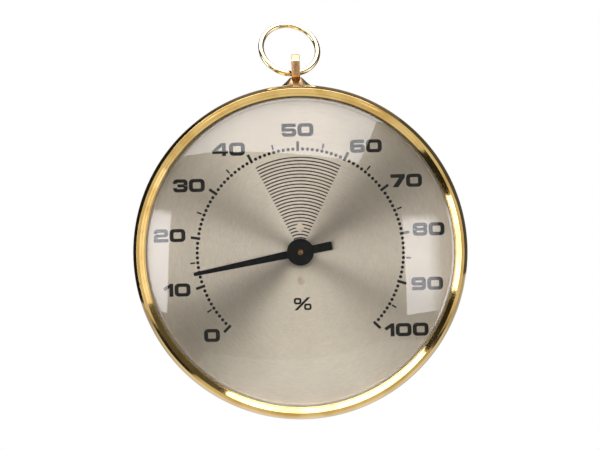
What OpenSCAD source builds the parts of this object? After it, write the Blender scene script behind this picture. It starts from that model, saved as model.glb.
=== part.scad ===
// Hair hygrometer: a round brass case with a domed glass, hung by a split ring.
// Damp air lengthens a bundle of hair, and a hairspring takes up the slack: the
// toothed sector turns, and the pinion turns the pointer ten times as far.
//
// The instrument is drawn lying on its back, dial upwards, and upright() stands
// each piece up. Then X is to the right, Z is up and the dial faces -Y. The origin
// is the middle of the flat back of the case.

/* [Case] */
// Outer diameter of the drawn case
case_d = 95.2; // [90:0.1:140]
// Depth of the case, from its back to its front edge
case_depth = 22.5; // [22:0.5:32]
// Sheet thickness of the case
case_wall = 0.9; // [0.6:0.1:1.5]
// Radius of the rounded corner between back and side
case_corner_r = 2.2; // [1.6:0.1:4]
// Number of radial vent slots in the back
vent_count = 12; // [6:1:16]
// Width of a vent slot
vent_w = 2.4; // [1.5:0.1:3]
// Length of a vent slot, between the centres of its ends
vent_l = 12; // [4:1:12]
// Distance from the middle of the back to a slot's inner end
vent_from_r = 20; // [18:1:22]

/* [Bezel] */
// How far the bezel stands out past the side of the case
bezel_overhang = 2.4; // [2:0.1:4]
// How far the bezel's skirt reaches back over the case
skirt_l = 5; // [4:0.1:6]
// Thickness of the skirt's back edge
skirt_t = 0.85; // [0.6:0.05:1.1]
// How far the lip reaches in from the side of the case, over the glass
lip_reach = 1.4; // [1.2:0.1:4]
// Height of the bezel's crest above the front edge of the case
crest_h = 4; // [3.4:0.1:6]
// Width of the crest
crest_w = 0.85; // [0.4:0.05:1.2]
// Angle at which the crest falls outwards
crest_fall = 11; // [0:1:14]
// Width of the steep outer side, seen from the front
side_w = 1.15; // [0.8:0.05:1.4]
// Height of the lip's rounded inner edge
lip_h = 0.35; // [0.2:0.05:0.6]
// Radial clearance of the bezel on the case and of the glass in the bezel
bezel_fit = 0.05; // [0.02:0.01:0.1]

/* [Glass] */
// Thickness of the glass
glass_t = 1.9; // [1.2:0.1:2.5]
// Rise of the dome above its flat rim
glass_rise = 3.4; // [1.5:0.1:6]
// Width of the glass's flat rim
glass_rim_w = 1.2; // [1:0.1:2]
// Gap from the case's front edge to the underside of the glass
glass_lift = 0.2; // [0.1:0.05:0.5]
// Gap between the glass and the underside of the lip
lip_gap = 0.05; // [0.02:0.01:0.1]

/* [Dial] */
// Thickness of the dial plate
dial_t = 0.6; // [0.4:0.1:1]
// Clearance between the dial's edge and the inside of the case
dial_fit = 0.2; // [0.1:0.05:0.4]
// Diameter of the dial's centre hole
dial_hole_d = 4; // [3:0.1:6]
// Height of the spacer ring between dial and glass
spacer_h = 2.1; // [1.6:0.1:2.6]
// Width of the spacer ring
spacer_w = 0.85; // [0.5:0.05:1.2]
// Height of the upper staked post above the middle of the dial
post_up = 7.3; // [6:0.1:8]
// Distance of the lower staked post below the middle of the dial
post_down = 8.6; // [6:0.1:10]
// Diameter of a post
post_d = 3.2; // [2.6:0.1:3.6]
// Length of a post, from the front plate to the back of the dial
post_l = 3.6; // [3:0.1:4]
// Diameter of a post's staked ends, in the plate and the dial
post_end_d = 1.7; // [1.2:0.1:2]
// Diameter of the staked head on the dial
post_head_d = 2.4; // [2:0.1:3]
// Height of the staked head
post_head_h = 0.25; // [0.15:0.05:0.4]

/* [Scale] */
// Sweep of the scale, from 0 to 100
scale_sweep = 270; // [180:5:290]
// Reading at which the pointer stands
reading = 12.8; // [0:0.1:100]

/* [Case pillars] */
// Number of pillars that carry the dial
case_pillar_count = 3; // [3:1:4]
// Diameter of a case pillar
case_pillar_d = 5; // [4:0.1:6]
// Distance of the pillars' axes from the inside of the case
case_pillar_in = 8.7; // [5:0.1:9]
// Diameter of the case screws
case_screw_d = 2; // [1.6:0.1:2.5]
// Diameter of the countersunk heads
case_screw_head_d = 4; // [3.4:0.1:4.4]
// How far the case screws reach into the pillars
case_screw_l = 5; // [3:0.5:8]

/* [Movement plates] */
// Thickness of both movement plates
plate_t = 1; // [0.8:0.1:1.2]
// Gap between the plates
plate_gap = 6; // [5.6:0.1:6.2]
// Half width of the plates' arms
arm_r = 3.6; // [3:0.1:4]
// Diameter of a plate pillar
plate_pillar_d = 4; // [3:0.1:5]
// Distance of the outer plate pillar from the sector's axis
outer_pillar_r = 8.5; // [7:0.1:10]
// Distance of the two inner plate pillars from the pointer's axis
inner_pillar_r = 11.4; // [11:0.1:13]
// Angle between each inner pillar and the line through both axes
inner_pillar_angle = 60; // [50:1:65]
// Diameter of the plate screws
plate_screw_d = 1.6; // [1.2:0.1:2]
// Diameter of the plate screws' heads
plate_screw_head_d = 3; // [2.4:0.1:3.4]
// Height of the plate screws' heads
plate_screw_head_h = 0.9; // [0.6:0.1:1.2]
// How far the plate screws reach into the pillars
plate_screw_l = 3; // [2:0.5:4]

/* [Gearing] */
// Module of the teeth
tooth_module = 0.35; // [0.3:0.01:0.36]
// Teeth on the pinion
pinion_teeth = 14; // [13:1:16]
// Teeth that the sector would have on a full turn
sector_turn_teeth = 140; // [120:10:140]
// Teeth cut on the sector, an even number
sector_teeth = 16; // [16:2:18]
// Pressure angle of the teeth
pressure_angle = 20; // [18:1:22]
// Tooth height above the pitch circle, in modules
addendum = 0.8; // [0.7:0.05:0.9]
// Tooth depth below the pitch circle, in modules
dedendum = 1.15; // [1.05:0.05:1.25]
// Share of the tooth pitch that a tooth takes up
tooth_share = 0.43; // [0.38:0.01:0.45]
// Thickness of the sector plate
sector_t = 1; // [0.8:0.1:1.2]
// Width of the sector's rim, arms and hair arm
sector_rim_w = 2.8; // [2:0.1:4]
// Radius of the sector's hub
sector_hub_r = 2; // [1.8:0.1:2.2]
// Length of the pinion
pinion_l = 2.4; // [2:0.1:3]

/* [Arbors] */
// Radius of the sector's arbor
sector_arbor_r = 1.1; // [0.9:0.05:1.3]
// Radius of the pivots at both its ends
sector_pivot_r = 0.6; // [0.5:0.05:0.8]
// Radius of the pointer's arbor between the plates
arbor_r = 0.9; // [0.8:0.05:1.1]
// Radius of its back pivot
arbor_pivot_r = 0.5; // [0.4:0.05:0.6]
// Radius of its front part, which carries the pointer
arbor_front_r = 0.6; // [0.5:0.05:0.7]
// Radial clearance of a pivot in its hole
pivot_fit = 0.05; // [0.02:0.01:0.08]
// Radial clearance of a piece pressed on an arbor
press_fit = 0.01; // [0:0.005:0.02]
// End play of the arbors between the plates, at each end
end_play = 0.1; // [0.05:0.05:0.2]

/* [Hairspring] */
// Turns of the hairspring
spring_turns = 6; // [4:1:7]
// Distance from one turn to the next
spring_pitch = 0.8; // [0.7:0.05:0.85]
// Thickness of the spring strip
spring_t = 0.2; // [0.1:0.05:0.25]
// Height of the spring strip
spring_h = 0.6; // [0.4:0.1:0.8]
// Radius of the collet that holds its inner end
collet_r = 1.7; // [1.4:0.05:1.9]
// Height of the collet
collet_h = 1; // [0.8:0.1:1.2]
// Diameter of the stud that holds its outer end
stud_d = 1.6; // [1.2:0.1:2]

/* [Hair] */
// Diameter of the bundle of hair
hair_d = 1.6; // [1:0.1:2]
// Distance from the sector's axis to the pin that the hair pulls on
hair_arm = 3.6; // [3.4:0.1:4]
// Diameter of the pins at both ends of the hair
hair_pin_d = 0.8; // [0.6:0.1:1]
// Width of the clips crimped on the hair
clip_w = 2.2; // [2:0.1:2.4]
// Length of a clip from its pin to the end of the crimp
clip_l = 5.6; // [4:0.1:8]
// Thickness of a clip where it sits on its pin
clip_t = 1; // [0.8:0.1:1.2]

/* [Adjuster] */
// Length of the adjuster's arm
adjuster_arm = 4; // [3:0.1:5]
// Diameter of the slotted head
adjuster_head_d = 5; // [4:0.1:5.4]
// Diameter of the stud in the back plate
adjuster_stud_d = 2.4; // [2:0.1:3]
// Diameter of the shoulder in front of the back plate
adjuster_shoulder_d = 4; // [3.4:0.1:5]
// Distance of the adjuster's axis from the inside of the case
adjuster_in = 7.9; // [7:0.1:9]
// Diameter of the screwdriver hole in the back
access_d = 6; // [5.6:0.1:7]
// Thickness of the spring washer under the head
washer_t = 0.3; // [0.2:0.05:0.4]

/* [Pointer] */
// Length of the pointer from its axis to its tip
pointer_l = 32.5; // [20:0.1:36]
// Length of its tail
tail_l = 9.7; // [5:0.1:12]
// Width at the tip
tip_w = 0.7; // [0.4:0.1:1]
// Width of the pointer next to the hub
pointer_w = 1.8; // [1.2:0.1:2.4]
// Width at the end of the tail
tail_w = 2.6; // [1.8:0.1:3]
// Thickness of the pointer
pointer_t = 0.3; // [0.2:0.05:0.4]
// Height of the pointer above the dial
pointer_lift = 1.6; // [1.2:0.1:1.8]
// Diameter of the round cover on the hub
hub_d = 8.1; // [6:0.1:10]
// Thickness of the hub cover
hub_t = 0.8; // [0.6:0.1:1]
// Outer radius of the brass bush in the hub
bush_r = 0.85; // [0.8:0.05:1]
// Radius of the bush's flange behind the pointer
bush_flange_r = 1.7; // [1.4:0.1:1.9]
// Thickness of that flange
bush_flange_t = 0.6; // [0.4:0.1:0.8]

/* [Pendant] */
// Distance of the pendant's axis from the back of the case
pendant_from_back = 9.95; // [7:0.05:12]
// Diameter of the pendant's foot on the case
foot_d = 9.6; // [9:0.1:9.8]
// Radius of the concave neck between foot and eye
neck_r = 5.3; // [5:0.05:5.6]
// Height of the neck's top above the bezel
neck_h = 3.5; // [3:0.1:3.6]
// Thickness of the eye
eye_t = 2.6; // [2:0.1:3.2]
// Outer radius of the eye
eye_r = 4.4; // [4.2:0.1:4.6]
// Radius of the hole in the eye
eye_hole_r = 2.8; // [2.7:0.05:2.9]
// Height of the hole's centre above the bezel
eye_h = 5.4; // [5.3:0.05:5.5]
// Diameter of the threaded stem
stem_d = 4; // [3:0.5:5]
// Length of the stem inside the case
stem_l = 3.4; // [3:0.1:5]
// Width of the nut across its flats
nut_w = 7; // [6:0.1:8]
// Thickness of the nut
nut_t = 2.2; // [1.6:0.1:2.6]
// Thickness of the washer under the nut
nut_washer_t = 0.5; // [0.4:0.1:0.8]
// Radial clearance of the stem in the case and of the nut and washer on it
stem_fit = 0.05; // [0.02:0.01:0.2]

/* [Hanging ring] */
// Radius of the ring, to the middle of the wire
ring_r = 8.7; // [8:0.1:14]
// Diameter of the wire
wire_d = 1.7; // [1.4:0.1:1.8]
// Height of the wire's middle above the bezel, in the eye
wire_h = 4; // [3.95:0.05:4.1]
// Lean of the ring towards the back
ring_lean = 30; // [0:1:40]
// Turn of the ring to one side
ring_yaw = 10; // [0:1:12]
// How far the ring has slid round in the eye
ring_slide = 12; // [0:1:20]
// Where the seam is, from the ring's right-hand side
seam_angle = -30; // [-45:1:45]
// Width of the seam
seam_w = 0.15; // [0.05:0.05:0.5]

/* [Hidden] */

$fn = 96;
// Sides of small round pieces
small_fn = 40;
// Extra length of a cut, so that it clears the surface it opens
cut = 0.5;

// Radii
case_r = case_d / 2;
case_in_r = case_r - case_wall;
bezel_r = case_r + bezel_overhang;
skirt_in_r = case_r + bezel_fit;
skirt_out_r = skirt_in_r + skirt_t;
lip_r = case_r - lip_reach;
glass_r = case_r - glass_lift - bezel_fit;
glass_seat_r = glass_r + bezel_fit;
dome_r = glass_r - glass_rim_w;
dome_ball_r = (dome_r * dome_r + glass_rise * glass_rise) / (2 * glass_rise);
dial_r = case_in_r - dial_fit;
case_pillar_circle = case_in_r - case_pillar_in;

// Levels above the back of the case
glass_z = case_depth + glass_lift;
glass_rim_z = glass_z + glass_t;
lip_z = glass_rim_z + lip_gap;
crest_z = case_depth + crest_h;
skirt_z = case_depth - skirt_l;
dial_z = glass_z - spacer_h;
dial_back_z = dial_z - dial_t;
front_plate_z = dial_back_z - post_l - plate_t;
plate_floor_z = front_plate_z - plate_gap;
back_plate_z = plate_floor_z - plate_t;
sector_z = plate_floor_z + (plate_gap - sector_t) / 2 + 0.2;
pinion_z = sector_z + (sector_t - pinion_l) / 2;
collet_z = plate_floor_z + end_play + 0.3;
spring_z = collet_z + (collet_h - spring_h) / 2;
clip_z = sector_z + sector_t + 0.2;
hair_z = clip_z + clip_t / 2;
hair_pin_top_z = clip_z + clip_t + 0.3;
pointer_z = dial_z + pointer_lift;
hub_z = pointer_z + pointer_t;
hub_top_z = hub_z + hub_t;

// Gearing
gear_ratio = sector_turn_teeth / pinion_teeth;
pinion_r = tooth_module * pinion_teeth / 2;
sector_r = tooth_module * sector_turn_teeth / 2;
axis_gap = pinion_r + sector_r;
// Direction from the pointer's axis to the sector's axis
sector_dir = 225;
sector_axis = polar(axis_gap, sector_dir);
// Angles turned from mid-scale, anticlockwise
pointer_angle = 90 + scale_sweep * (50 - reading) / 100;
pinion_turned = scale_sweep * (50 - reading) / 100;
sector_turned = -pinion_turned / gear_ratio;

// Ends of the hair, and the adjuster
lower_pin = sector_axis + polar(hair_arm, 180 + sector_turned);
adjuster_x = lower_pin[0] + adjuster_arm;
adjuster_axis = [adjuster_x, sqrt(pow(case_in_r - adjuster_in, 2) - pow(adjuster_x, 2))];
upper_pin = [lower_pin[0], adjuster_axis[1]];

// Plate pillars: one beyond the sector's axis, two beyond the pointer's
plate_pillar_places = [
    sector_axis + polar(outer_pillar_r, sector_dir),
    polar(inner_pillar_r, sector_dir + 180 - inner_pillar_angle),
    polar(inner_pillar_r, sector_dir + 180 + inner_pillar_angle)
];
post_places = [[0, post_up], [0, -post_down]];

// Hairspring: a spiral from the collet to the stud, near the lower inner pillar
spring_in_r = collet_r + spring_t;
spring_out_r = spring_in_r + spring_turns * spring_pitch;
stud_dir = -90;
spring_steps = 24 * spring_turns;

// Pendant and ring, in the upright frame
pendant_y = -pendant_from_back;
neck_top_z = bezel_r + neck_h;
neck_top_r = eye_t / 2 + 0.05;
neck_from = 27.5;
neck_to = 76;
neck_x = neck_top_r + neck_r * cos(neck_from);
neck_z = neck_top_z + neck_r * sin(neck_from);
neck_foot_z = neck_z - neck_r * sin(neck_to);
eye_z = bezel_r + eye_h;
wire_z = bezel_r + wire_h;

function polar(r, a) = [r * cos(a), r * sin(a)];
function arc(centre, r, from, to, steps) =
    [for (i = [0:steps]) centre + polar(r, from + (to - from) * i / steps)];
function oval_arc(centre, a, b, from, to, steps) =
    [for (i = [0:steps]) let (t = from + (to - from) * i / steps) centre + [a * cos(t), b * sin(t)]];
// Involute function, in degrees
function involute(a) = tan(a) * 180 / PI - a;
// Half the angle that a tooth takes up at radius r
function tooth_half_angle(r, pitch_r, teeth) =
    let (base_r = pitch_r * cos(pressure_angle))
    180 * tooth_share / teeth + involute(pressure_angle) - involute(acos(min(1, base_r / r)));
function spiral_r(i) = spring_in_r + spring_turns * spring_pitch * i / spring_steps;
function spiral_a(i) = stud_dir + 360 * spring_turns * i / spring_steps;

// Stands a piece up: its height becomes the distance in front of the back
module upright() {
    rotate([90, 0, 0]) children();
}

// Straight arm with round ends
module bar(from, to, r) {
    span = to - from;
    translate(from) circle(r, $fn = small_fn);
    translate(to) circle(r, $fn = small_fn);
    translate(from) rotate(atan2(span[1], span[0])) translate([0, -r]) square([norm(span), 2 * r]);
}

// One involute tooth on the X axis, rooted well below its root circle
module tooth(pitch_r, teeth) {
    root_r = pitch_r - dedendum * tooth_module;
    tip_r = pitch_r + addendum * tooth_module;
    foot_r = root_r - tooth_module;
    flank_r = max(pitch_r * cos(pressure_angle), root_r - tooth_module / 2);
    steps = 5;
    radii = [for (i = [0:steps]) flank_r + (tip_r - flank_r) * i / steps];
    foot_angle = tooth_half_angle(flank_r, pitch_r, teeth);
    polygon(concat(
        [polar(foot_r, foot_angle)],
        [for (r = radii) polar(r, tooth_half_angle(r, pitch_r, teeth))],
        [for (i = [steps:-1:0]) polar(radii[i], -tooth_half_angle(radii[i], pitch_r, teeth))],
        [polar(foot_r, -foot_angle)]
    ));
}

module ring_2d(outer, inner) {
    difference() {
        circle(outer);
        circle(inner);
    }
}

// Drawn cup with rounded corner, vent slots and screw, adjuster and pendant holes
module case_shell() {
    corner_in = case_corner_r - case_wall;
    color("#c9a35c") difference() {
        upright() difference() {
            rotate_extrude() polygon(concat(
                [[0, 0], [case_r - case_corner_r, 0]],
                arc([case_r - case_corner_r, case_corner_r], case_corner_r, -90, 0, 8),
                [[case_r, case_depth], [case_in_r, case_depth]],
                arc([case_r - case_corner_r, case_corner_r], corner_in, 0, -90, 8),
                [[0, case_wall]]
            ));
            for (i = [0:vent_count - 1]) rotate(i * 360 / vent_count)
                translate([0, 0, -cut]) linear_extrude(case_wall + 2 * cut)
                    bar([vent_from_r, 0], [vent_from_r + vent_l, 0], vent_w / 2);
            at_case_pillars() screw_body(pivot_fit);
            at_case_pillars() translate([0, 0, -cut])
                cylinder(h = cut, d = case_screw_head_d + 2 * pivot_fit, $fn = small_fn);
            translate([adjuster_axis[0], adjuster_axis[1], -cut])
                cylinder(h = case_wall + 2 * cut, d = access_d);
        }
        translate([0, pendant_y, case_in_r - cut])
            cylinder(h = case_wall + 2 * cut, r = stem_d / 2 + stem_fit);
    }
}

// Turned and polished ring: skirt, cove, band, steep outer roll, crest and inner slope
module bezel() {
    cove_r = bezel_r - skirt_out_r - 0.4;
    band_z = skirt_z + 0.8 + cove_r + 0.4;
    // The outer side is a wide arc from near upright, which meets the crest in a tight corner
    low = 5;
    high = 28;
    corner_r = 0.14;
    side_r = side_w / (cos(low) - cos(high));
    side_x = bezel_r - side_r * cos(low);
    corner_z = crest_z - crest_w * tan(crest_fall) - corner_r * cos(crest_fall);
    side_z = corner_z - (side_r - corner_r) * sin(high);
    corner = [side_x + (side_r - corner_r) * cos(high), corner_z];
    slope_in = [lip_r + 0.4, lip_z + lip_h + 0.15];
    slope_out = [corner[0] - crest_w, crest_z - 0.04];
    color("#c9a35c") upright() rotate_extrude() polygon(concat(
        [[skirt_in_r, skirt_z], [skirt_out_r - 0.15, skirt_z], [skirt_out_r, skirt_z + 0.15]],
        arc([skirt_out_r + cove_r, skirt_z + 0.8], cove_r, 180, 90, 8),
        arc([bezel_r - 0.4, band_z], 0.4, -90, 0, 5),
        arc([side_x, side_z], side_r, low, high, 10),
        arc(corner, corner_r, high, 90 - crest_fall, 4),
        [[slope_out[0] + 0.07, crest_z], slope_out],
        [(slope_out + slope_in) / 2 + [0.06, -0.12], slope_in],
        oval_arc([lip_r + 0.4, lip_z], 0.4, lip_h, 90, 180, 6),
        [[glass_seat_r, lip_z], [glass_seat_r, case_depth + 0.1], [skirt_in_r, case_depth + 0.1]]
    ));
}

// Domed glass: equal spherical faces, and a flat rim under the lip
module glass() {
    ball_z = glass_rim_z + glass_rise - dome_ball_r;
    color("#dfe8e6", 0.35) upright() rotate_extrude() union() {
        translate([dome_r, glass_z]) square([glass_rim_w, glass_t]);
        difference() {
            intersection() {
                translate([0, ball_z]) circle(dome_ball_r, $fn = 720);
                translate([0, glass_z]) square([dome_r, glass_t + glass_rise]);
            }
            translate([0, ball_z - glass_t]) circle(dome_ball_r, $fn = 720);
        }
    }
}

module spacer_ring() {
    outer = dial_r - dial_fit;
    color("#bdb5a6") upright() translate([0, 0, dial_z]) linear_extrude(spacer_h)
        ring_2d(outer, outer - spacer_w);
}

module dial() {
    color("#c8c0b0") upright() translate([0, 0, dial_back_z]) linear_extrude(dial_t) difference() {
        circle(dial_r);
        circle(dial_hole_d / 2, $fn = small_fn);
        for (p = post_places) translate(p) circle(post_end_d / 2 + press_fit, $fn = small_fn);
    }
}

// Posts staked through the front plate and the dial
module dial_posts() {
    color("#b08d50") upright() for (p = post_places) translate([p[0], p[1], 0]) {
        translate([0, 0, front_plate_z])
            cylinder(h = dial_z - front_plate_z + post_head_h / 2, d = post_end_d, $fn = small_fn);
        translate([0, 0, front_plate_z + plate_t]) cylinder(h = post_l, d = post_d, $fn = small_fn);
        translate([0, 0, dial_z]) cylinder(h = post_head_h, d = post_head_d, $fn = small_fn);
    }
}

module at_case_pillars() {
    for (i = [0:case_pillar_count - 1]) rotate(60 + i * 360 / case_pillar_count)
        translate([case_pillar_circle, 0, 0]) children();
}

module case_pillars() {
    color("#b08d50") upright() at_case_pillars() difference() {
        translate([0, 0, case_wall])
            cylinder(h = dial_back_z - case_wall, d = case_pillar_d, $fn = small_fn);
        cylinder(h = case_wall + case_screw_l + cut, d = case_screw_d, $fn = small_fn);
    }
}

// Countersunk screw, head flush with the back; grow widens it into its hole
module screw_body(grow) {
    cylinder(
        h = min((case_screw_head_d - case_screw_d) / 2, case_wall - 0.1),
        d1 = case_screw_head_d + 2 * grow,
        d2 = case_screw_d + 2 * grow,
        $fn = small_fn
    );
    cylinder(h = case_wall + case_screw_l, r = case_screw_d / 2 + grow, $fn = small_fn);
}

module case_screws() {
    slot_w = 0.5;
    slot_h = 0.4;
    color("#d8c48c") upright() at_case_pillars() difference() {
        screw_body(-press_fit);
        translate([-case_screw_head_d, -slot_w / 2, -cut])
            cube([2 * case_screw_head_d, slot_w, cut + slot_h]);
    }
}

// Arms shared by both plates: from the sector's axis and the pillars to the middle
module plate_arms() {
    bar([0, 0], sector_axis, arm_r);
    bar(sector_axis, plate_pillar_places[0], arm_r);
    bar([0, 0], plate_pillar_places[1], arm_r);
    bar([0, 0], plate_pillar_places[2], arm_r);
}

module front_plate() {
    color("#b99a5a") upright() translate([0, 0, front_plate_z]) linear_extrude(plate_t) difference() {
        union() {
            plate_arms();
            for (p = post_places) bar([0, 0], p, arm_r);
        }
        circle(arbor_front_r + pivot_fit, $fn = small_fn);
        translate(sector_axis) circle(sector_pivot_r + pivot_fit, $fn = small_fn);
        for (p = post_places) translate(p) circle(post_end_d / 2 + press_fit, $fn = small_fn);
        for (p = plate_pillar_places) translate(p) circle(plate_screw_d / 2 + pivot_fit, $fn = small_fn);
    }
}

// The back plate has one more arm, up to the adjuster
module back_plate() {
    color("#b99a5a") upright() translate([0, 0, back_plate_z]) linear_extrude(plate_t) difference() {
        union() {
            plate_arms();
            bar(sector_axis, adjuster_axis, arm_r);
            bar([0, 0], polar(spring_out_r, stud_dir), arm_r);
        }
        circle(arbor_pivot_r + pivot_fit, $fn = small_fn);
        translate(sector_axis) circle(sector_pivot_r + pivot_fit, $fn = small_fn);
        translate(adjuster_axis) circle(adjuster_stud_d / 2 + pivot_fit, $fn = small_fn);
        for (p = plate_pillar_places) translate(p) circle(pillar_end_r() + press_fit, $fn = small_fn);
        translate(stud_place()) circle(stud_d / 4 + press_fit, $fn = small_fn);
    }
}

function pillar_end_r() = plate_pillar_d / 4;
function stud_place() = polar(spring_out_r + spring_t / 2 + stud_d / 2, stud_dir);

// Pillars riveted in the back plate and tapped for the plate screws
module plate_pillars() {
    color("#b08d50") upright() for (p = plate_pillar_places) translate([p[0], p[1], 0]) difference() {
        union() {
            translate([0, 0, back_plate_z]) cylinder(h = plate_t + cut, r = pillar_end_r(), $fn = small_fn);
            translate([0, 0, plate_floor_z]) cylinder(h = plate_gap, d = plate_pillar_d, $fn = small_fn);
        }
        translate([0, 0, front_plate_z - plate_screw_l])
            cylinder(h = plate_screw_l + cut, d = plate_screw_d, $fn = small_fn);
    }
}

module plate_screws() {
    slot_w = 0.45;
    head_z = front_plate_z + plate_t;
    color("#d8c48c") upright() for (p = plate_pillar_places) translate([p[0], p[1], 0]) difference() {
        union() {
            translate([0, 0, head_z - plate_t - plate_screw_l + 0.1])
                cylinder(h = plate_screw_l + plate_t, r = plate_screw_d / 2 - press_fit, $fn = small_fn);
            translate([0, 0, head_z]) cylinder(h = plate_screw_head_h, d = plate_screw_head_d, $fn = small_fn);
        }
        translate([-plate_screw_head_d, -slot_w / 2, head_z + plate_screw_head_h / 2])
            cube([2 * plate_screw_head_d, slot_w, plate_screw_head_h]);
    }
}

// Stepped arbor: back pivot, body between the plates, front part up to the hub
module pointer_arbor() {
    body_l = plate_gap - 2 * end_play;
    color("#b08d50") upright() {
        translate([0, 0, back_plate_z])
            cylinder(h = plate_t + end_play, r = arbor_pivot_r, $fn = small_fn);
        translate([0, 0, plate_floor_z + end_play]) cylinder(h = body_l, r = arbor_r, $fn = small_fn);
        translate([0, 0, front_plate_z - end_play]) cylinder(
            h = hub_top_z + 0.3 - front_plate_z + end_play,
            r = arbor_front_r,
            $fn = small_fn
        );
    }
}

module pinion() {
    color("#d0b070") upright() translate([0, 0, pinion_z]) difference() {
        union() {
            cylinder(h = pinion_l, r = pinion_r - dedendum * tooth_module, $fn = small_fn);
            linear_extrude(pinion_l) for (i = [0:pinion_teeth - 1])
                rotate(sector_dir + pinion_turned + i * 360 / pinion_teeth) tooth(pinion_r, pinion_teeth);
        }
        translate([0, 0, -cut])
            cylinder(h = pinion_l + 2 * cut, r = arbor_r + press_fit, $fn = small_fn);
    }
}

// Brass bush riveted into the pointer
module pointer_bush() {
    color("#c08a4a") upright() difference() {
        union() {
            translate([0, 0, pointer_z - bush_flange_t])
                cylinder(h = bush_flange_t, r = bush_flange_r, $fn = small_fn);
            translate([0, 0, pointer_z - bush_flange_t / 2])
                cylinder(h = hub_top_z + 0.15 - pointer_z + bush_flange_t / 2, r = bush_r, $fn = small_fn);
        }
        translate([0, 0, pointer_z - bush_flange_t - cut]) cylinder(
            h = hub_top_z - pointer_z + bush_flange_t + 3 * cut,
            r = arbor_front_r + press_fit,
            $fn = small_fn
        );
    }
}

// Tapered hand with a broader tail, its corners rounded
module pointer() {
    tail_corner = 0.4;
    color("#1d1c1b") upright() translate([0, 0, pointer_z]) rotate(pointer_angle)
        linear_extrude(pointer_t) difference() {
            union() {
                polygon([
                    [0, -pointer_w / 2],
                    [pointer_l - tip_w / 2, -tip_w / 2],
                    [pointer_l - tip_w / 2, tip_w / 2],
                    [0, pointer_w / 2],
                    [-tail_l + tail_corner, tail_w / 2],
                    [-tail_l, tail_w / 2 - tail_corner],
                    [-tail_l, -tail_w / 2 + tail_corner],
                    [-tail_l + tail_corner, -tail_w / 2]
                ]);
                for (s = [-1, 1]) translate([-tail_l + tail_corner, s * (tail_w / 2 - tail_corner)])
                    circle(tail_corner, $fn = small_fn);
                translate([pointer_l - tip_w / 2, 0]) circle(tip_w / 2, $fn = small_fn);
                circle(bush_flange_r, $fn = small_fn);
            }
            circle(bush_r + press_fit, $fn = small_fn);
        }
}

// Round cover with a bevelled edge
module pointer_hub() {
    bevel = 0.25;
    color("#1d1c1b") upright() rotate_extrude() polygon([
        [bush_r + press_fit, hub_z],
        [hub_d / 2, hub_z],
        [hub_d / 2, hub_top_z - bevel],
        [hub_d / 2 - bevel, hub_top_z],
        [bush_r + press_fit, hub_top_z]
    ]);
}

// Flat spiral strip, from the collet to the stud
module hairspring() {
    color("#8f98a0") upright() translate([0, 0, spring_z]) linear_extrude(spring_h) polygon(concat(
        [for (i = [0:spring_steps]) polar(spiral_r(i) + spring_t / 2, spiral_a(i))],
        [for (i = [spring_steps:-1:0]) polar(spiral_r(i) - spring_t / 2, spiral_a(i))]
    ));
}

module spring_collet() {
    color("#c9a35c") upright() translate([0, 0, collet_z]) linear_extrude(collet_h)
        ring_2d(collet_r, arbor_r + press_fit);
}

// Stud in the back plate, next to the spring's outer end
module spring_stud() {
    place = stud_place();
    color("#b08d50") upright() translate([place[0], place[1], 0]) {
        translate([0, 0, back_plate_z]) cylinder(h = plate_t + cut, r = stud_d / 4, $fn = small_fn);
        translate([0, 0, plate_floor_z])
            cylinder(h = spring_z + spring_h + 0.3 - plate_floor_z, d = stud_d, $fn = small_fn);
    }
}

// Toothed sector: rim, two arms, hub and the short arm that the hair pulls on
module sector() {
    tooth_angle = 360 / sector_turn_teeth;
    half_angle = tooth_angle * (sector_teeth + 0.6) / 2;
    root_r = sector_r - dedendum * tooth_module;
    rim_r = root_r - sector_rim_w;
    arm_angle = half_angle - 3.5;
    hub_z = sector_z - sector_t;
    to_rim = sector_dir + 180;
    color("#d0b070") upright() translate([sector_axis[0], sector_axis[1], 0]) rotate(sector_turned)
        difference() {
            union() {
                translate([0, 0, sector_z]) linear_extrude(sector_t) {
                    intersection() {
                        ring_2d(root_r, rim_r);
                        wedge(to_rim, half_angle, sector_r);
                    }
                    for (i = [0:sector_teeth - 1]) rotate(to_rim + (i - (sector_teeth - 1) / 2) * tooth_angle)
                        tooth(sector_r, sector_turn_teeth);
                    for (s = [-1, 1])
                        bar([0, 0], polar(rim_r + sector_rim_w / 2, to_rim + s * arm_angle), sector_rim_w / 2.6);
                    bar([0, 0], [-hair_arm, 0], sector_rim_w / 2);
                }
                translate([0, 0, hub_z])
                    cylinder(h = sector_z + sector_t - hub_z, r = sector_hub_r, $fn = small_fn);
                translate([-hair_arm, 0, sector_z + sector_t / 2])
                    cylinder(h = hair_pin_top_z - sector_z - sector_t / 2, d = hair_pin_d, $fn = small_fn);
            }
            translate([0, 0, hub_z - cut])
                cylinder(h = 2 * sector_t + 2 * cut, r = sector_arbor_r + press_fit, $fn = small_fn);
        }
}

// Triangle that spans an angle on each side of a direction, out past radius r
module wedge(dir, half_angle, r) {
    far = r / cos(half_angle);
    polygon([[0, 0], polar(far, dir - half_angle), polar(far, dir + half_angle)]);
}

module sector_arbor() {
    color("#b08d50") upright() translate([sector_axis[0], sector_axis[1], 0]) {
        translate([0, 0, back_plate_z])
            cylinder(h = front_plate_z + plate_t - back_plate_z, r = sector_pivot_r, $fn = small_fn);
        translate([0, 0, plate_floor_z + end_play])
            cylinder(h = plate_gap - 2 * end_play, r = sector_arbor_r, $fn = small_fn);
    }
}

// Bundle of hair, stretched between the crimps of both clips
module hair_bundle() {
    color("#e8dcc0") upright() translate([lower_pin[0], lower_pin[1] + clip_l, hair_z]) rotate([-90, 0, 0])
        cylinder(h = upper_pin[1] - lower_pin[1] - 2 * clip_l, d = hair_d, $fn = small_fn);
}

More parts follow.
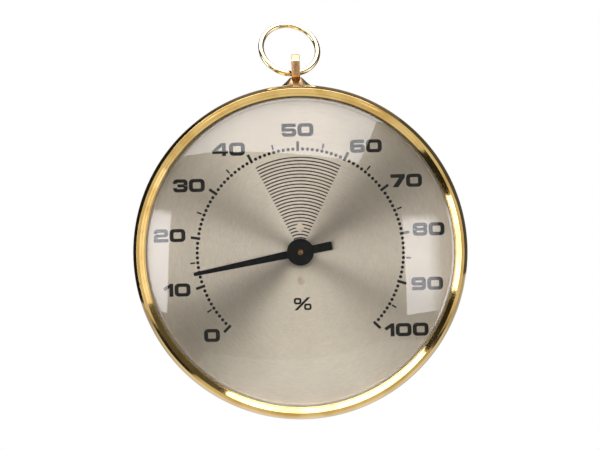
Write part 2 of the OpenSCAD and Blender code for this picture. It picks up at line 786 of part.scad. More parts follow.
// Flat tab with a pin hole, and a crimped tube that the hair starts from
module clip(place, dir) {
    crimp_l = 3;
    upright() translate([place[0], place[1], 0]) rotate(dir) {
        translate([0, 0, clip_z]) linear_extrude(clip_t) difference() {
            bar([0, 0], [clip_l - crimp_l, 0], clip_w / 2);
            circle(hair_pin_d / 2 + pivot_fit, $fn = small_fn);
        }
        translate([clip_l - crimp_l, 0, hair_z]) rotate([0, 90, 0])
            cylinder(h = crimp_l, d = clip_w, $fn = small_fn);
    }
}

module lower_clip() {
    color("#b08d50") clip(lower_pin, 90);
}

module upper_clip() {
    color("#b08d50") clip(upper_pin, -90);
}

// Slotted stud turned through the back; its arm moves the upper end of the hair
module adjuster() {
    head_h = 1;
    head_z = back_plate_z - washer_t - head_h;
    slot_w = 0.7;
    color("#d8c48c") upright() translate([adjuster_axis[0], adjuster_axis[1], 0]) difference() {
        union() {
            translate([0, 0, head_z]) cylinder(h = head_h, d = adjuster_head_d, $fn = small_fn);
            translate([0, 0, head_z + head_h / 2])
                cylinder(h = plate_floor_z - head_z, d = adjuster_stud_d, $fn = small_fn);
            translate([0, 0, plate_floor_z + pivot_fit])
                cylinder(h = sector_z - plate_floor_z, d = adjuster_shoulder_d, $fn = small_fn);
            translate([0, 0, sector_z]) linear_extrude(sector_t)
                bar([0, 0], [-adjuster_arm, 0], sector_rim_w / 2);
            translate([-adjuster_arm, 0, sector_z + sector_t / 2])
                cylinder(h = hair_pin_top_z - sector_z - sector_t / 2, d = hair_pin_d, $fn = small_fn);
        }
        translate([-adjuster_head_d, -slot_w / 2, head_z - cut])
            cube([2 * adjuster_head_d, slot_w, cut + head_h / 2]);
    }
}

// Spring washer that gives the adjuster its friction
module adjuster_washer() {
    color("#8f98a0") upright() translate([adjuster_axis[0], adjuster_axis[1], back_plate_z - washer_t])
        linear_extrude(washer_t) ring_2d(adjuster_head_d / 2 - 0.2, adjuster_stud_d / 2 + pivot_fit);
}

// Turned pendant: threaded stem, foot, concave neck, and a flat eye across it
module pendant() {
    color("#c9a35c") difference() {
        union() {
            translate([0, pendant_y, 0]) rotate_extrude($fn = 72) polygon(concat(
                [[0, case_in_r - stem_l], [stem_d / 2 - 0.3, case_in_r - stem_l]],
                [[stem_d / 2, case_in_r - stem_l + 0.3], [stem_d / 2, case_r - 1]],
                [[foot_d / 2, case_r - 1], [foot_d / 2, neck_foot_z - 0.05]],
                arc([neck_x, neck_z], neck_r, neck_to - 180, neck_from - 180, 14),
                [[0, neck_top_z]]
            ));
            translate([-eye_t / 2, pendant_y, eye_z]) rotate([0, 90, 0]) cylinder(h = eye_t, r = eye_r);
        }
        translate([-foot_d, pendant_y, eye_z]) rotate([0, 90, 0]) cylinder(h = 2 * foot_d, r = eye_hole_r);
        case_outside_cut();
    }
}

// What the foot rests on: the side of the case, outside the stem
module case_outside_cut() {
    difference() {
        upright() translate([0, 0, -cut]) cylinder(h = case_depth + cut, r = case_r, $fn = 240);
        translate([0, pendant_y, 0]) cylinder(h = 2 * case_r, d = stem_d);
    }
}

module pendant_washer() {
    // The flat washer touches the curved wall along two lines
    color("#d8c48c") translate([0, pendant_y, washer_top_z() - nut_washer_t]) linear_extrude(nut_washer_t)
        ring_2d(nut_w / 2, stem_d / 2 + stem_fit);
}

function washer_top_z() = sqrt(pow(case_in_r, 2) - pow(nut_w / 2, 2));

module pendant_nut() {
    color("#d8c48c") translate([0, pendant_y, washer_top_z() - nut_washer_t - nut_t]) linear_extrude(nut_t)
        difference() {
            circle(nut_w / 2 / cos(30), $fn = 6);
            circle(stem_d / 2 + stem_fit, $fn = small_fn);
        }
}

// Split ring of round wire, with its seam, standing as it fell in the eye
module hanging_ring() {
    seam_half = seam_w / ring_r * 90 / PI;
    color("#d9bd7c") translate([0, pendant_y, wire_z])
        rotate([-ring_lean, 0, 0]) rotate([0, 0, ring_yaw]) rotate([0, -ring_slide, 0])
            translate([0, 0, ring_r]) rotate([90, 0, 0]) rotate(seam_angle + seam_half)
                rotate_extrude(angle = 360 - 2 * seam_half, $fn = 120)
                    translate([ring_r, 0]) circle(d = wire_d, $fn = small_fn);
}

case_shell();
bezel();
glass();
spacer_ring();
dial();
dial_posts();
case_pillars();
case_screws();
front_plate();
back_plate();
plate_pillars();
plate_screws();
pointer_arbor();
pinion();
pointer_bush();
pointer();
pointer_hub();
hairspring();
spring_collet();
spring_stud();
sector();
sector_arbor();
hair_bundle();
lower_clip();
upper_clip();
adjuster();
adjuster_washer();
pendant();
pendant_washer();
pendant_nut();
hanging_ring();
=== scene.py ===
# %% [markdown]
# Hair hygrometer: a brass wall instrument with a domed glass. A bundle of hair inside grows and
# shrinks with the damp in the air and turns a black hand over a metal dial.
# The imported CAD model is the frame: every mechanical piece is already there, to size. This script
# dresses it: it turns a finer bezel and glass, prints the scale on the dial, and gives every piece
# a procedural finish. All lengths are in metres, and the dial faces -Y.

# %% Load the frame
import math

import bmesh
import bpy
from mathutils import Matrix, Vector


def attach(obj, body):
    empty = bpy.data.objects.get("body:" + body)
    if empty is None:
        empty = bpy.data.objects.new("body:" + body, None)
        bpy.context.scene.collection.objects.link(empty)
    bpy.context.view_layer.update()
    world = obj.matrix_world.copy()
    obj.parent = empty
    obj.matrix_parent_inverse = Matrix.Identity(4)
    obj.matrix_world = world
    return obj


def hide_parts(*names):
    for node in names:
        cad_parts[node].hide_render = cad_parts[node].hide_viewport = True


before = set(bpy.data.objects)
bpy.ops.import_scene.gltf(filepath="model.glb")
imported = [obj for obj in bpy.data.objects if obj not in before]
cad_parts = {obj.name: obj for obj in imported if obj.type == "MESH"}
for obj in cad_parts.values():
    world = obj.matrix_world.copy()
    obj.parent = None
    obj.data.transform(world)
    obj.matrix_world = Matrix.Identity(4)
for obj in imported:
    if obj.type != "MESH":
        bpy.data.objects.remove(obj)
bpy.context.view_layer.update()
MM = 0.001
print("pieces in the frame:", len(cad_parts))

# %% [markdown]
# The photograph was taken square on from about a metre away with a long lens, and the instrument
# hangs turned by a degree and a half. A camera that rolls by that much gives the same picture
# without turning the model.

# %% Camera
def stand(name, data):
    """A new object in the scene that shows this mesh, curve, camera or lamp."""
    made = bpy.data.objects.new(name, data)
    bpy.context.scene.collection.objects.link(made)
    return made


TURN = math.radians(1.47)
eye = bpy.data.cameras.new("camera")
eye.lens = 200
eye.sensor_width = 36
camera = stand("camera", eye)
camera.location = (0.00009, -1.0186, 0.00809)
camera.rotation_euler = (math.radians(90), TURN, 0)
eye.clip_start = 0.05
eye.clip_end = 50
bpy.context.scene.camera = camera
print("camera stands", round(-camera.location.y, 3), "m in front of the case's back")

# %% [markdown]
# Small helpers do the work for every material and every Geometry Nodes tree: one turns a colour as
# written in a paint program into linear light, one fills the sockets of a node with values and
# links, one adds a node that way, and two start a material. The kinds of node that come most often
# get short names. A noise of scale METRE / 2 has features about 2 mm across.

# %% Helpers for nodes
def linear(code):
    """An sRGB colour such as "d2ae6a" as the linear colour that a shader takes."""
    parts = [int(code[i : i + 2], 16) / 255 for i in (0, 2, 4)]
    return tuple(p / 12.92 if p <= 0.04045 else ((p + 0.055) / 1.055) ** 2.4 for p in parts) + (1.0,)


def wire(node, sockets):
    """Fills sockets with values, or with links from a socket or from a node's first output."""
    for key, value in sockets.items():
        if isinstance(value, bpy.types.Node):
            value = value.outputs[0]
        if isinstance(value, bpy.types.NodeSocket):
            node.id_data.links.new(value, node.inputs[key])
        else:
            node.inputs[key].default_value = value
    return node


def put(tree, kind, sockets=None, **settings):
    """Adds one node, sets its properties and fills its sockets."""
    node = tree.nodes.new(kind)
    for key, value in settings.items():
        setattr(node, key, value)
    return wire(node, sockets or {})


def empty_material(name):
    """A material without nodes: (material, tree)."""
    material = bpy.data.materials.new(name)
    material.use_nodes = True
    material.node_tree.nodes.clear()
    return material, material.node_tree


def finish_named(name, **skin_values):
    """A material with a Principled shader at its output: (material, tree, shader)."""
    material, tree = empty_material(name)
    values = {key.replace("_", " "): value for key, value in skin_values.items()}
    skin = put(tree, "ShaderNodeBsdfPrincipled", values)
    put(tree, "ShaderNodeOutputMaterial", {"Surface": skin})
    return material, tree, skin


METRE = 1000  # millimetres
NOISE, RANGE, MATH, MIX, BUMP = ["ShaderNode" + k for k in ("TexNoise", "MapRange", "Math", "Mix", "Bump")]
VECTOR, JOIN, COORDS = ["ShaderNode" + k for k in ("VectorMath", "CombineXYZ", "TexCoord")]
print("helpers ready, gold reads", [round(v, 3) for v in linear("d2ae6a")[:3]])

# %% [markdown]
# Turned, drawn and spun metal carries its marks in circles round the axis. These coordinates
# unroll a piece about the Y axis: X is the distance from the axis, Y the depth and Z the angle,
# so a noise that is fine in X and Y and slow in Z makes lathe lines.

# %% Coordinates for turned metal
def round_the_axis(tree, slow=0.004):
    """Object coordinates, the same unrolled to (radius, depth, angle * slow), and the way outwards."""
    place = put(tree, COORDS).outputs["Object"]
    flat = put(tree, VECTOR, {0: place, 1: (1, 0, 1)}, operation="MULTIPLY")
    radius = put(tree, VECTOR, {0: flat}, operation="LENGTH").outputs["Value"]
    x, y, z = put(tree, "ShaderNodeSeparateXYZ", {0: place}).outputs
    angle = put(tree, MATH, {0: z, 1: x}, operation="ARCTAN2")
    turn = put(tree, MATH, {0: angle, 1: slow}, operation="MULTIPLY")
    unrolled = put(tree, JOIN, {0: radius, 1: y, 2: turn})
    outward = put(tree, VECTOR, {0: flat}, operation="NORMALIZE")
    return place, unrolled, outward


print("coordinates for turned metal ready")

# %% [markdown]
# Brass, CuZn37, drawn or turned, then polished and lacquered. A mirror finish is only a low
# roughness; what makes it read as real is that the reflections wander a little, because polishing
# leaves the surface wavy over a few millimetres, that the gold is not one colour, because the
# lacquer lets it tarnish in patches, and that fine lathe lines run round it.
# The metal keeps the default IOR, and its colour is the colour of its reflections.

# %% Brass and other worked metals
def metal(name, bright, dull, gloss, satin, wave, lines, patch_mm=9.0, line_mm=0.12, darker_inside_r=0.0,
          fade=0.3, spots=0.55):
    """Metal of two colours, roughness gloss to satin, waves and turning lines so many mm high.

    patch_mm is the size of the tarnish and line_mm of the lines, spots how strong its specks are.
    The colour is darker inside the radius given for it, in the upper part only, and fades out over the next
    fade millimetres; at the bezel that is painted shade.
    """
    material, tree, skin = finish_named(name, Metallic=1.0)
    place, unrolled, _ = round_the_axis(tree)
    kinds = ((place, patch_mm, 4), (place, 0.9, 3), (unrolled, line_mm, 3), (place, 2.5, 5), (place, 7, 1))
    noises = []
    for where, size_mm, detail in kinds:
        sockets = {"Vector": where, "Scale": METRE / size_mm, "Detail": detail}
        noises.append(put(tree, NOISE, sockets))
    clouds, dots, cuts, rub, swell = noises
    patches = put(tree, RANGE, {0: clouds, 1: 0.45, 2: 0.75})
    specks = put(tree, RANGE, {0: dots, 1: 0.66, 2: 0.8, 4: spots})
    worn = put(tree, MATH, {0: patches, 1: specks}, operation="MAXIMUM")
    colour = put(tree, MIX, {0: worn, 6: linear(bright), 7: linear(dull)}, data_type="RGBA").outputs[2]
    if darker_inside_r:
        from_axis = put(tree, "ShaderNodeSeparateXYZ", {0: unrolled})
        inside = put(tree, RANGE, {0: from_axis, 1: darker_inside_r * MM, 2: (darker_inside_r + fade) * MM, 3: 1.0, 4: 0.0})
        # the darkening lies in the upper part of the ring only; at the bezel it is painted shade where the
        # lip meets the glass
        height = put(tree, "ShaderNodeSeparateXYZ", {0: place}).outputs[2]
        above = put(tree, RANGE, {0: height, 1: 0.4 * darker_inside_r * MM, 2: 0.8 * darker_inside_r * MM})
        darkening = put(tree, MATH, {0: inside, 1: above}, operation="MULTIPLY")
        colour = put(tree, MIX, {0: darkening, 6: colour, 7: linear("4a3b22")}, data_type="RGBA").outputs[2]
    grease = put(tree, MATH, {0: cuts, 1: rub}, operation="MULTIPLY")
    sheen = put(tree, RANGE, {0: grease, 1: 0.1, 2: 0.5, 3: gloss, 4: satin})
    relief = put(tree, BUMP, {"Height": swell, "Strength": 1.0, "Distance": wave * MM})
    relief = put(tree, BUMP, {"Height": cuts, "Strength": 1.0, "Distance": lines * MM, "Normal": relief})
    wire(skin, {"Base Color": colour, "Roughness": sheen, "Normal": relief})
    return material


# polished and lacquered: clear reflections with soft edges, tarnish only in traces
brass_polished = metal("brass_turned_polished", "dbb975", "b98f45", 0.05, 0.13, 0.012, 0.0004)
# the bezel is the same, with painted shade darkening the upper corner where its lip meets the glass
brass_bezel = metal("brass_bezel_polished", "dbb975", "b98f45", 0.05, 0.13, 0.012, 0.0004, darker_inside_r=46.35)
# drawn over a punch and brushed round: the back and side of the case, a little duller
brass_drawn = metal("brass_drawn_brushed", "cfa962", "a47e3c", 0.16, 0.34, 0.05, 0.0025, 14.0, 0.2)
# turned, filed and rubbed with a fine compound: softer and redder than the buffed bezel, and darker at its
# foot and the bottom of its neck, near the case
brass_satin = metal("brass_filed_satin", "cda376", "ae8555", 0.28, 0.36, 0.0, 0.0, 5.0, 1.0, 50.3, 2.4, 0.1)
# drawn wire, bent and tumbled bright: paler, with a softer gleam than turned and buffed brass
brass_wire = metal("brass_wire_tumbled", "ecd8ab", "dcc086", 0.09, 0.16, 0.004, 0.0003, 6.0, spots=0.15)
# stamped sheet with a matt grain, as movement plates have
brass_stamped = metal("brass_sheet_satin", "c8a458", "9d7a38", 0.24, 0.42, 0.02, 0.002, 5.0, 0.15)
# turned from rod and left as cut
brass_rod = metal("brass_rod_as_turned", "c9a04f", "96703a", 0.18, 0.36, 0.0, 0.003, 3.0, 0.1)
# rod riveted flush into the dial, rubbed bright with it
brass_rivet = metal("gilding_metal_riveted", "f2ddca", "e0c6b0", 0.4, 0.5, 0.0, 0.002, 2.0, 0.1)
# a bush with more copper in it, at the middle of the hand
brass_bush = metal("gunmetal_turned", "c98a54", "8d5a34", 0.2, 0.36, 0.0, 0.002, 1.5, 0.1)
# not brass but steel: hardened, then tempered to a straw colour, as the arbor of a hand is
steel_straw = metal("steel_tempered_straw", "dcbc90", "b8905c", 0.2, 0.34, 0.0, 0.001, 2.0, 0.1)
print("metal finishes:", [m.name for m in bpy.data.materials])

# %% [markdown]
# The bezel is a ring turned from brass tube and pressed over the case. Its front is what the
# photograph shows most of: a steep outer side, a narrow crest that falls a little outwards, a slope
# down to the glass and a thin lip. Reflections on a polished moulding need a smooth surface, so
# instead of dressing the CAD facets the same section is turned again here with many steps: a lathe
# is a rule, a section swept round a circle, and Geometry Nodes do that in three nodes.

# %% A lathe in Geometry Nodes
def nodes_tree(name, sizes):
    """An empty Geometry Nodes tree with named inputs: (tree, the inputs by name, its output node)."""
    tree = bpy.data.node_groups.new(name, "GeometryNodeTree")
    tree.interface.new_socket("Geometry", in_out="INPUT", socket_type="NodeSocketGeometry")
    for key, kind in sizes.items():
        tree.interface.new_socket(key, in_out="INPUT", socket_type="NodeSocket" + kind)
    tree.interface.new_socket("Geometry", in_out="OUTPUT", socket_type="NodeSocketGeometry")
    given = tree.nodes.new("NodeGroupInput").outputs
    return tree, given, tree.nodes.new("NodeGroupOutput")


def end_tree(tree, given, last, result):
    """Real geometry and one material at the end of a tree."""
    real = put(tree, "GeometryNodeRealizeInstances", {0: result})
    wire(last, {0: put(tree, "GeometryNodeSetMaterial", {0: real, "Material": given["Material"]})})


def grow(name, tree, values, start=None, body="root", stands_for=()):
    """Runs a tree on a start mesh and keeps the result as a plain mesh that rides on a body."""
    start = start or bpy.data.meshes.new(name)
    piece = stand(name, start)
    modifier = piece.modifiers.new("grow", "NODES")
    modifier.node_group = tree
    for item in tree.interface.items_tree:
        if item.in_out == "INPUT" and item.name in values:
            modifier[item.identifier] = values[item.name]
    seen = piece.evaluated_get(bpy.context.evaluated_depsgraph_get())
    made = bpy.data.meshes.new_from_object(seen)
    piece.modifiers.remove(modifier)
    piece.data = made
    made.name = name
    bpy.data.meshes.remove(start)
    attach(piece, body)
    if stands_for:
        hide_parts(*stands_for)
    print(name, "has", len(made.polygons), "faces")
    return piece


sizes = {"Steps": "Int", "Centre Radius": "Float", "Sharp Above": "Float", "Material": "Material"}
lathe, given, last = nodes_tree("lathe", sizes)
section = put(lathe, "GeometryNodeMeshToCurve", {0: given["Geometry"]})
sockets = {"Resolution": given["Steps"], "Radius": given["Centre Radius"]}
path = put(lathe, "GeometryNodeCurvePrimitiveCircle", sockets)
swept = put(lathe, "GeometryNodeCurveToMesh", {"Curve": path, "Profile Curve": section})
welded = put(lathe, "GeometryNodeMergeByDistance", {0: swept, "Distance": 1e-6})
fold = put(lathe, "GeometryNodeInputMeshEdgeAngle")
crisp = put(lathe, "FunctionNodeCompare", {0: fold, 1: given["Sharp Above"]}, operation="LESS_THAN")
soft = put(lathe, "GeometryNodeSetShadeSmooth", {0: welded, 2: True}, domain="FACE")
edged = put(lathe, "GeometryNodeSetShadeSmooth", {0: soft, 2: crisp}, domain="EDGE")
upright = put(lathe, "GeometryNodeTransform", {0: edged, "Rotation": (-math.pi / 2, 0, 0)})
end_tree(lathe, given, last, upright)
SHARP = math.radians(28)


def turned(name, section_mm, closed, steps, material, stands_for):
    """A piece turned from a section of (radius, distance in front of the back) in millimetres."""
    middle = max(r for r, _ in section_mm)
    points = [((r - middle) * MM, y * MM, 0) for r, y in section_mm]
    edges = [(i, i + 1) for i in range(len(points) - 1)]
    if closed:
        edges.append((len(points) - 1, 0))
    outline = bpy.data.meshes.new(name + "_section")
    outline.from_pydata(points, edges, [])
    values = {"Steps": steps, "Centre Radius": middle * MM, "Sharp Above": SHARP, "Material": material}
    return grow(name, lathe, values, outline, "root", stands_for)


print("the lathe keeps edges sharp above", round(math.degrees(SHARP)), "degrees")

# %% [markdown]
# The section of the bezel, in millimetres, after the CAD: skirt, cove, band, outer side, crest,
# slope and lip. Curved parts are drawn as short arcs.

# %% Turn the bezel
def arc(centre, width, height, start, end, steps=10):
    """Points on an oval arc, angles in degrees."""
    angles = [math.radians(start + (end - start) * i / steps) for i in range(steps + 1)]
    return [(centre[0] + width * math.cos(a), centre[1] + height * math.sin(a)) for a in angles]


BEZEL_R, SKIRT_IN, SKIRT_OUT, LIP_R, SEAT_R = 50.0, 47.65, 48.5, 46.2, 47.4
SKIRT_Z, SEAT_Z, LIP_Z, CREST_Z = 17.5, 22.6, 24.65, 26.5
SIDE_W, CREST_W, CREST_FALL, SIDE_LOW, SIDE_HIGH, CORNER_R = 1.15, 0.85, 11, 5, 28, 0.14
COVE_R, BAND_Z, EDGE_R, LIP_H = 1.1, 19.8, 0.4, 0.35
slope_in = (LIP_R + EDGE_R, LIP_Z + LIP_H + 0.15)
# the outer side is a wide arc from near upright, which meets the crest in a tight corner
low, high, fall = [math.radians(a) for a in (SIDE_LOW, SIDE_HIGH, CREST_FALL)]
SIDE_R = SIDE_W / (math.cos(low) - math.cos(high))
side_x = BEZEL_R - SIDE_R * math.cos(low)
corner_x = side_x + (SIDE_R - CORNER_R) * math.cos(high)
corner_z = CREST_Z - CREST_W * math.tan(fall) - CORNER_R * math.cos(fall)
side_z = corner_z - (SIDE_R - CORNER_R) * math.sin(high)
slope_out = (corner_x - CREST_W, CREST_Z - 0.04)
slope_mid = ((slope_out[0] + slope_in[0]) / 2 + 0.06, (slope_out[1] + slope_in[1]) / 2 - 0.12)
bezel_section = [
    (SKIRT_IN, SKIRT_Z), (SKIRT_OUT - 0.15, SKIRT_Z), (SKIRT_OUT, SKIRT_Z + 0.15),
    *arc((SKIRT_OUT + COVE_R, SKIRT_Z + 0.8), COVE_R, COVE_R, 180, 90),
    *arc((BEZEL_R - EDGE_R, BAND_Z), EDGE_R, EDGE_R, -90, 0, 6),
    *arc((side_x, side_z), SIDE_R, SIDE_R, SIDE_LOW, SIDE_HIGH, 12),
    *arc((corner_x, corner_z), CORNER_R, CORNER_R, SIDE_HIGH, 90 - CREST_FALL, 6),
    (slope_out[0] + 0.07, CREST_Z), slope_out, slope_mid, slope_in,
    *arc((LIP_R + EDGE_R, LIP_Z), EDGE_R, LIP_H, 90, 180, 8),
    (SEAT_R, LIP_Z), (SEAT_R, SEAT_Z), (SKIRT_IN, SEAT_Z),
]
bezel = turned("bezel_ring", bezel_section, True, 480, brass_bezel, ("bezel",))

# %% [markdown]
# The pendant is turned from rod: a threaded stem that goes through the case, a foot, a hollow neck
# and a ball, which is then filed flat on two sides, drilled through to make the eye, and faced off
# in front and above, so it shows as an upright bar with a bright bevel at its top. Its face is
# crowned a little by buffing. Turned about one axis and filed round another, it is two lathe shapes
# at a right angle, joined in one mesh, and the bottom of its foot follows the round side of the case.

# %% Turn the pendant
CASE_R, WALL, PENDANT_Y, EYE_Z, EYE_R, EYE_HOLE, HALF_EYE = 47.6, 0.9, -9.95, 55.4, 4.4, 2.8, 1.3
STEM_R, STEM_END = 2.0, CASE_R - WALL - 3.4
# round the eye, in degrees from straight ahead: its flat face ends here, and its bevel runs from, to
FACE, BEVEL_FROM, BEVEL_TO = 30, 39, 72


def lathe_rows(shape, rows, place_point, steps=120, closed=False):
    """Adds a turned shape from rows of (radius, height); place_point puts each point in place."""
    rings = []
    for radius, height in rows:
        turns = [2 * math.pi * i / steps for i in range(steps)]
        rings.append([shape.verts.new([c * MM for c in place_point(radius, height, a)]) for a in turns])
    pairs = list(zip(rings, rings[1:])) + ([(rings[-1], rings[0])] if closed else [])
    for one, other in pairs:
        for i in range(steps):
            j = (i + 1) % steps
            shape.faces.new((one[i], one[j], other[j], other[i]))
    if not closed:
        shape.faces.new(rings[0])
        shape.faces.new(list(reversed(rings[-1])))


def on_stem(radius, height, a):
    """A point turned about the pendant's upright axis; height None is the side of the case."""
    x, y = radius * math.cos(a), radius * math.sin(a)
    z = math.sqrt(CASE_R**2 - x * x) if height is None else height
    if abs(y) < EYE_HOLE:
        z = min(z, EYE_Z - math.sqrt(EYE_HOLE**2 - y * y))
    return x, PENDANT_Y + y, z


def round_eye(drop, across, a):
    """A point of the eye, that far below its outline; drop None is the wall of the hole."""
    off_front = abs(math.degrees(math.atan2(math.sin(a), abs(math.cos(a)))))
    radius = EYE_R
    if off_front <= FACE:
        radius *= math.cos(math.radians(FACE)) / math.cos(math.radians(off_front))
    elif BEVEL_FROM <= off_front <= BEVEL_TO and math.sin(a) > 0:
        half, middle = (BEVEL_TO - BEVEL_FROM) / 2, (BEVEL_TO + BEVEL_FROM) / 2
        radius *= math.cos(math.radians(half)) / math.cos(math.radians(off_front - middle))
    radius = EYE_HOLE if drop is None else radius - drop
    return across, PENDANT_Y + radius * math.cos(a), EYE_Z + radius * math.sin(a)


neck = [(4.6, 50.0), (4.3, 50.4), (3.75, 50.85), (3.15, 51.35), (2.5, 52.0), (2.13, 52.4), (1.86, 52.7)]
tip = [(1.6, 53.05), (1.4, 53.4), (0.9, 53.5), (0.4, 53.5), (0.02, 53.5)]
stem_rows = [(STEM_R - 0.3, STEM_END), (STEM_R, STEM_END + 0.3), (STEM_R, None), (4.5, None), (4.6, 49.7)]
stem_rows += neck + tip
# across the rim the eye is crowned by 0.15 mm, and the edges of its two flats are broken
FLAT_R, RIM_X, CROWN = 1.45, 1.15, 0.15
crown = [(CROWN * (x / RIM_X) ** 2, x) for x in [RIM_X * (1 - i / 8) for i in range(17)]]
eye_rows = [(None, -RIM_X), (None, RIM_X), (FLAT_R, HALF_EYE), (0.32, HALF_EYE), (0.22, 1.26), *crown]
eye_rows += [(0.22, -1.26), (0.32, -HALF_EYE), (FLAT_R, -HALF_EYE)]
shape = bmesh.new()
lathe_rows(shape, stem_rows, on_stem)
lathe_rows(shape, eye_rows, round_eye, closed=True)
bmesh.ops.recalc_face_normals(shape, faces=shape.faces)
made = bpy.data.meshes.new("pendant_turned")
shape.to_mesh(made)
shape.free()
made.polygons.foreach_set("use_smooth", [True] * len(made.polygons))
made.set_sharp_from_angle(angle=math.radians(14))
made.materials.append(brass_satin)
pendant = stand("pendant_turned", made)
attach(pendant, "root")
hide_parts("pendant")
low, high = [[round(f(v.co[i] for v in made.vertices) / MM, 2) for i in (0, 1, 2)] for f in (min, max)]
print("pendant from", low, "to", high, "mm")

# %% [markdown]
# The glass is pressed and domed, with a flat rim that sits in the bezel. A clear pane needs two
# true surfaces: light bends at the front and again at the back. It is turned like the bezel, as a
# closed shell from the middle out and back. Window glass has an IOR of about 1.5.
# Lamps would be blocked by refracting glass, so for shadow rays only it is plain transparent.

# %% Turn the glass
GLASS_R, DOME_R, RIM_Z, RIM_FRONT = 47.35, 46.15, 22.7, 24.6
DOME_RISE, GLASS_T, BALL_R = 3.4, 1.9, 314.9
ball_z = RIM_FRONT + DOME_RISE - BALL_R


def dome(back, steps=40):
    """Points of the dome's section, from its edge to its middle, that far behind the front face."""
    radii = [DOME_R * (1 - i / steps) for i in range(steps + 1)]
    return [(r, ball_z - back + math.sqrt(BALL_R**2 - r * r)) for r in radii]


pane = [(r, z) for r, z in dome(GLASS_T) if z > RIM_Z + 0.02]
foot_r = math.sqrt(BALL_R**2 - (RIM_Z - ball_z + GLASS_T) ** 2)
glass_section = [*reversed(pane), (foot_r, RIM_Z), (GLASS_R - 0.1, RIM_Z), (GLASS_R, RIM_Z + 0.1)]
glass_section += [(GLASS_R, RIM_FRONT - 0.1), (GLASS_R - 0.1, RIM_FRONT), *dome(0.0)]

glass_pane, tree, skin = finish_named("glass_pressed_clear", Roughness=0.004, IOR=1.5)
wire(skin, {"Base Color": linear("fbfdfb"), "Transmission Weight": 1.0})
place = put(tree, COORDS).outputs["Object"]
# pressing leaves the surface wavy over a few centimetres, and wiping leaves hair-fine scratches
slow_waves = put(tree, NOISE, {"Vector": place, "Scale": METRE / 24, "Detail": 0.0})
wavy = put(tree, BUMP, {"Height": slow_waves, "Distance": 0.02 * MM})
long_way = put(tree, "ShaderNodeMapping", {0: place, 2: (0.3, 0.2, 0.5), 3: (1.0, 1.0, 0.04)})
wiping = put(tree, NOISE, {"Vector": long_way, "Scale": METRE / 0.35})
scratches = put(tree, RANGE, {0: wiping, 1: 0.72, 2: 0.9})
sockets = {"Height": scratches, "Strength": 0.15, "Distance": 0.001 * MM, "Normal": wavy}
wire(skin, {"Normal": put(tree, BUMP, sockets)})
ray = put(tree, "ShaderNodeLightPath").outputs["Is Shadow Ray"]
clear = put(tree, "ShaderNodeBsdfTransparent", {0: linear("f2f5f2")})
both = put(tree, "ShaderNodeMixShader", {0: ray, 1: skin, 2: clear})
out = next(n for n in tree.nodes if n.type == "OUTPUT_MATERIAL")
wire(out, {0: both})
glass = turned("glass_dome", glass_section, False, 360, glass_pane, ("glass",))

# %% [markdown]
# The dial is sheet metal, spun against fine grit so that every scratch is a circle, then clear
# lacquered over the print. Light scatters across the scratches and hardly along them, so a spun
# disc shows bright and dark rays out of its middle that follow the room's windows and walls.
# That is anisotropic reflection: the tangent is set across the scratches' run, from the Object
# coordinates, and the rays then come from the lights alone. Real grit lines of 0.02 mm are far too
# fine to show, so the grooves here are drawn ten times coarser.

# %% Dial finish
dial_metal, tree, skin = finish_named("champagne_aluminium_spun", Metallic=1.0, Anisotropic=0.94)
place, unrolled, outward = round_the_axis(tree, 0.006)
clouds = put(tree, NOISE, {"Vector": place, "Scale": METRE / 16, "Detail": 3.0})
patches = put(tree, RANGE, {0: clouds, 1: 0.35, 2: 0.65})
grooves = put(tree, NOISE, {"Vector": unrolled, "Scale": METRE / 0.25, "Detail": 3.0})
pale = put(tree, MIX, {0: patches, 6: linear("f7e7d3"), 7: linear("edddc9")}, data_type="RGBA").outputs[2]
depth = put(tree, RANGE, {0: grooves, 1: 0.3, 2: 0.7, 4: 0.35})
shade = put(tree, MIX, {0: depth, 6: pale, 7: linear("c1b3a1")}, data_type="RGBA").outputs[2]
sheen = put(tree, RANGE, {0: grooves, 1: 0.3, 2: 0.7, 3: 0.31, 4: 0.37})
bump = put(tree, BUMP, {"Height": grooves, "Strength": 0.25, "Distance": 0.002 * MM})
wire(skin, {"Base Color": shade, "Roughness": sheen, "Tangent": outward, "Normal": bump})
print("dial finish made")

# %% [markdown]
# The print: screen-printed ink, a few hundredths of a millimetre thick, matt and not quite black.
# It is real geometry, so it casts and catches light as ink does and stays sharp at any size.
# The scale runs over 270 degrees, from 0 at the lower left to 100 at the lower right, so one per
# cent is 2.7 degrees. A dot for each per cent and bars for the tens are the same mark repeated
# round a circle: points placed by their index, with one small shape instanced on each.

# %% Printing ink
def coated(name, ior, level, colours, spots, sheen, relief, stretch=(1, 1, 1)):
    """A plain finish of two colours in spots (mm, detail, from, to), with sheen and relief."""
    material, tree, skin = finish_named(name, IOR=ior, Specular_IOR_Level=level)
    place = put(tree, COORDS).outputs["Object"]
    if stretch != (1, 1, 1):
        place = put(tree, "ShaderNodeMapping", {0: place, 3: stretch})
    noises = []
    for size_mm, detail in (spots[:2], sheen[:2], relief[:2]):
        sockets = {"Vector": place, "Scale": METRE / size_mm, "Detail": detail}
        noises.append(put(tree, NOISE, sockets))
    share = put(tree, RANGE, {0: noises[0], 1: spots[2], 2: spots[3]})
    sockets = {0: share, 6: linear(colours[0]), 7: linear(colours[1])}
    colour = put(tree, MIX, sockets, data_type="RGBA").outputs[2]
    rough = put(tree, RANGE, {0: noises[1], 1: 0.3, 2: 0.7, 3: sheen[2], 4: sheen[3]})
    bump = put(tree, BUMP, {"Height": noises[2], "Distance": relief[2] * MM})
    wire(skin, {"Base Color": colour, "Roughness": rough, "Normal": bump})
    return material


# matt ink in a thin, slightly uneven layer
ink = coated("ink_screen_printed", 1.5, 0.15, ("211d18", "2f2a23"),
             (0.5, 3.0, 0.55, 0.8), (0.3, 2.0, 0.5, 0.65), (0.15, 2.0, 0.002))
